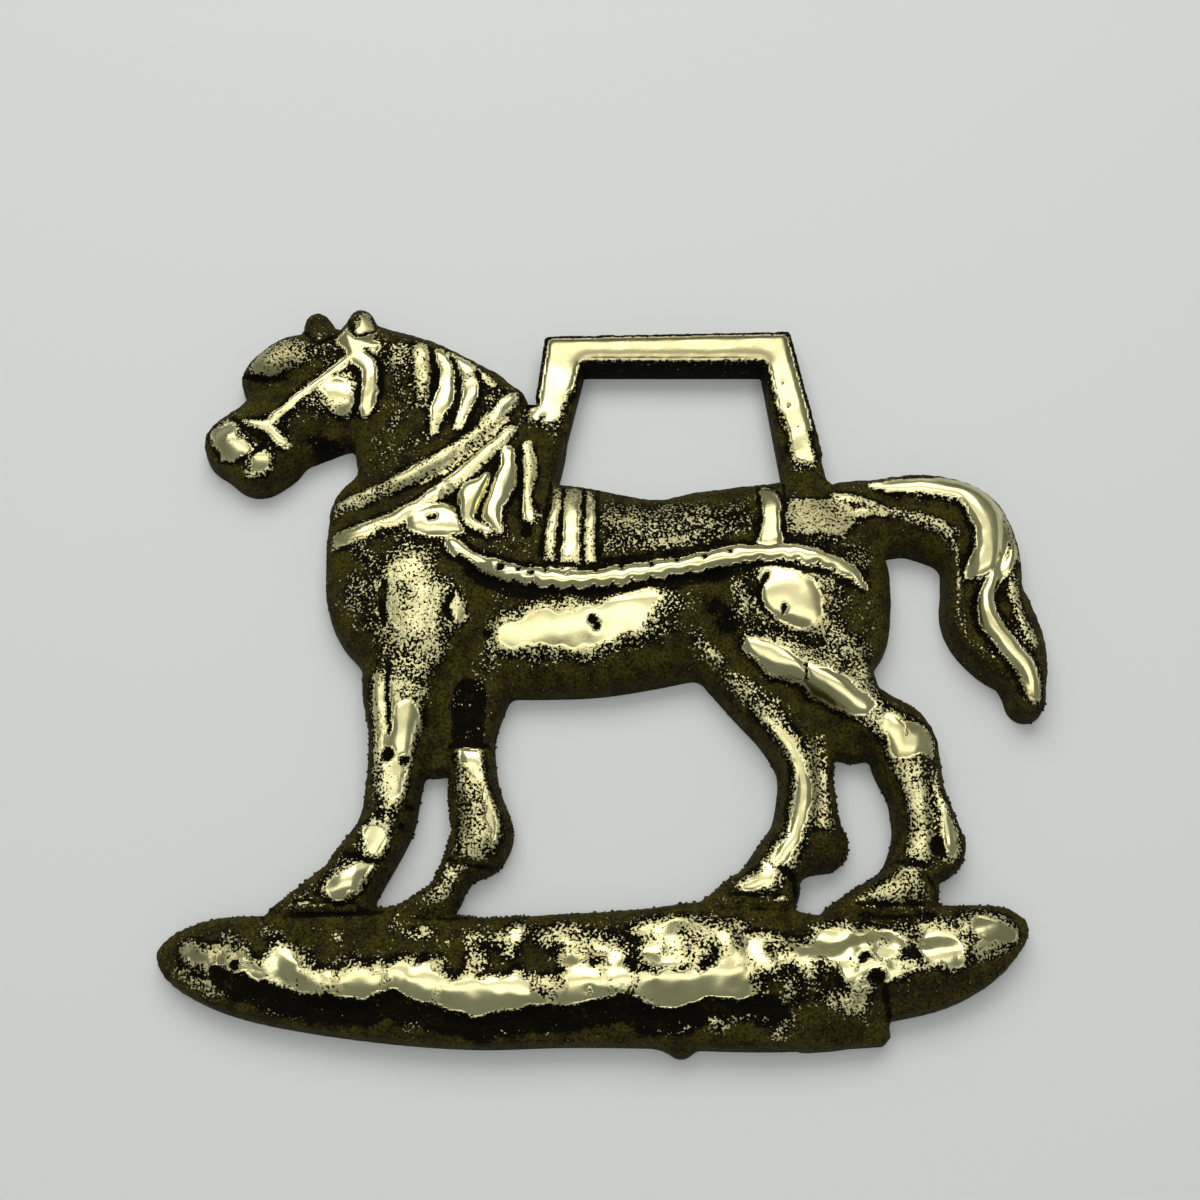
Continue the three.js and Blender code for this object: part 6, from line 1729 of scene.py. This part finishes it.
@dataclass
class Studio:
    """Pale table, soft lights from beyond the hanger, and the camera."""

    tilt_deg: float = 20.0  # how far the camera leans from straight down
    distance: float = 155.0
    lens_mm: float = 42.0
    aim: tuple[float, float] = (-1.54, 6.55)  # mm, the point at the middle of the view
    table_half: float = 1.2  # metres
    table_drop: float = 1e-5
    table_white: tuple[float, float, float, float] = (0.84, 0.85, 0.855, 1)
    room: tuple[float, float, float, float] = (0.88, 0.96, 0.93, 1)
    room_strength: float = 0.22
    boxes: tuple[Softbox, ...] = (
        Softbox("ceiling", (0.0, 0.05, 0.80), (0, 0.05, 0), (0.9, 0.8), 0.56, (1, 1, 0.97)),
        Softbox("window", (-0.06, 0.50, 0.60), (0, 0, 0), (0.8, 0.40), 2.6, (1, 0.99, 0.95)),
        Softbox("wash", (-0.1, 0.35, 0.85), (0, 0, 0), (0.7, 0.5), 0.12, (0.97, 0.985, 1), False),
        Softbox("lamp", (0.0, -0.10, 0.78), (0, -0.02, 0), (0.8, 0.30), 1.0, (1, 0.99, 0.95)),
    )

    def build(self) -> None:
        """Makes the camera, the floor, the lights and the surroundings."""
        self.camera()
        self.floor()
        self.lights()
        bpy.context.scene.view_settings.view_transform = "Standard"

    def camera(self) -> None:
        """Places the camera."""
        tilt = math.radians(self.tilt_deg)
        data = bpy.data.cameras.new("camera")
        data.lens = self.lens_mm
        data.sensor_width = 36
        data.clip_start = 0.005
        camera = bpy.data.objects.new("camera", data)
        camera.location = (self.aim[0] * MM, (self.aim[1] - self.distance * math.sin(tilt)) * MM,
                           self.distance * math.cos(tilt) * MM)
        camera.rotation_euler = (tilt, 0, 0)
        bpy.context.scene.collection.objects.link(camera)
        bpy.context.scene.camera = camera

    def floor(self) -> None:
        """Lays the table top just under the casting."""
        half, drop = self.table_half, -self.table_drop
        corners = [(-half, -half, drop), (half, -half, drop), (half, half, drop), (-half, half, drop)]
        mesh = bpy.data.meshes.new("table")
        mesh.from_pydata(corners, [], [(0, 1, 2, 3)])
        table = bpy.data.objects.new("table", mesh)
        bpy.context.scene.collection.objects.link(table)
        material = bpy.data.materials.new("table_white")
        material.use_nodes = True
        shader = material.node_tree.nodes["Principled BSDF"]
        shader.inputs["Base Color"].default_value = self.table_white
        shader.inputs["Roughness"].default_value = 0.6
        mesh.materials.append(material)

    def lights(self) -> None:
        """Hangs the soft lights."""
        world = bpy.data.worlds.new("room")
        world.use_nodes = True
        background = world.node_tree.nodes["Background"]
        background.inputs["Color"].default_value = self.room
        background.inputs["Strength"].default_value = self.room_strength
        bpy.context.scene.world = world
        for box in self.boxes:
            box.hang()


def main() -> None:
    """Builds the horse brass, its finish and its studio."""
    logging.basicConfig(level=logging.INFO, format="%(name)s: %(message)s")
    Studio().build()
    finish = AgedBrass().build()
    casting = Casting(Relief())
    skin = casting.build()
    crumbs = Burrs()
    skin.wear["edge"] = crumbs.edge_values(casting, skin.points)
    skin.points = place(skin.points)
    piece = to_object("horse_brass_casting", skin)
    SandGrain().apply(piece, finish)
    burrs = crumbs.build(piece, finish)
    for made in (piece, burrs):
        keep_in_box(made)
        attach(made, BODY)
        log.info("%s: %d vertices, %d faces", made.name, len(made.data.vertices), len(made.data.polygons))
    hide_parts(NODE)


def keep_in_box(piece: bpy.types.Object) -> None:
    """Holds every vertex inside the CAD solid's box.

    Args:
        piece: A piece in the part's frame.
    """
    low, high = (np.array(corner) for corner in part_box(NODE))
    points = np.zeros(len(piece.data.vertices) * 3, np.float32)
    piece.data.vertices.foreach_get("co", points)
    held = np.clip(points.reshape(-1, 3), low, high)
    piece.data.vertices.foreach_set("co", held.ravel().astype(np.float32))
    piece.data.update()


if __name__ == "__main__":
    main()
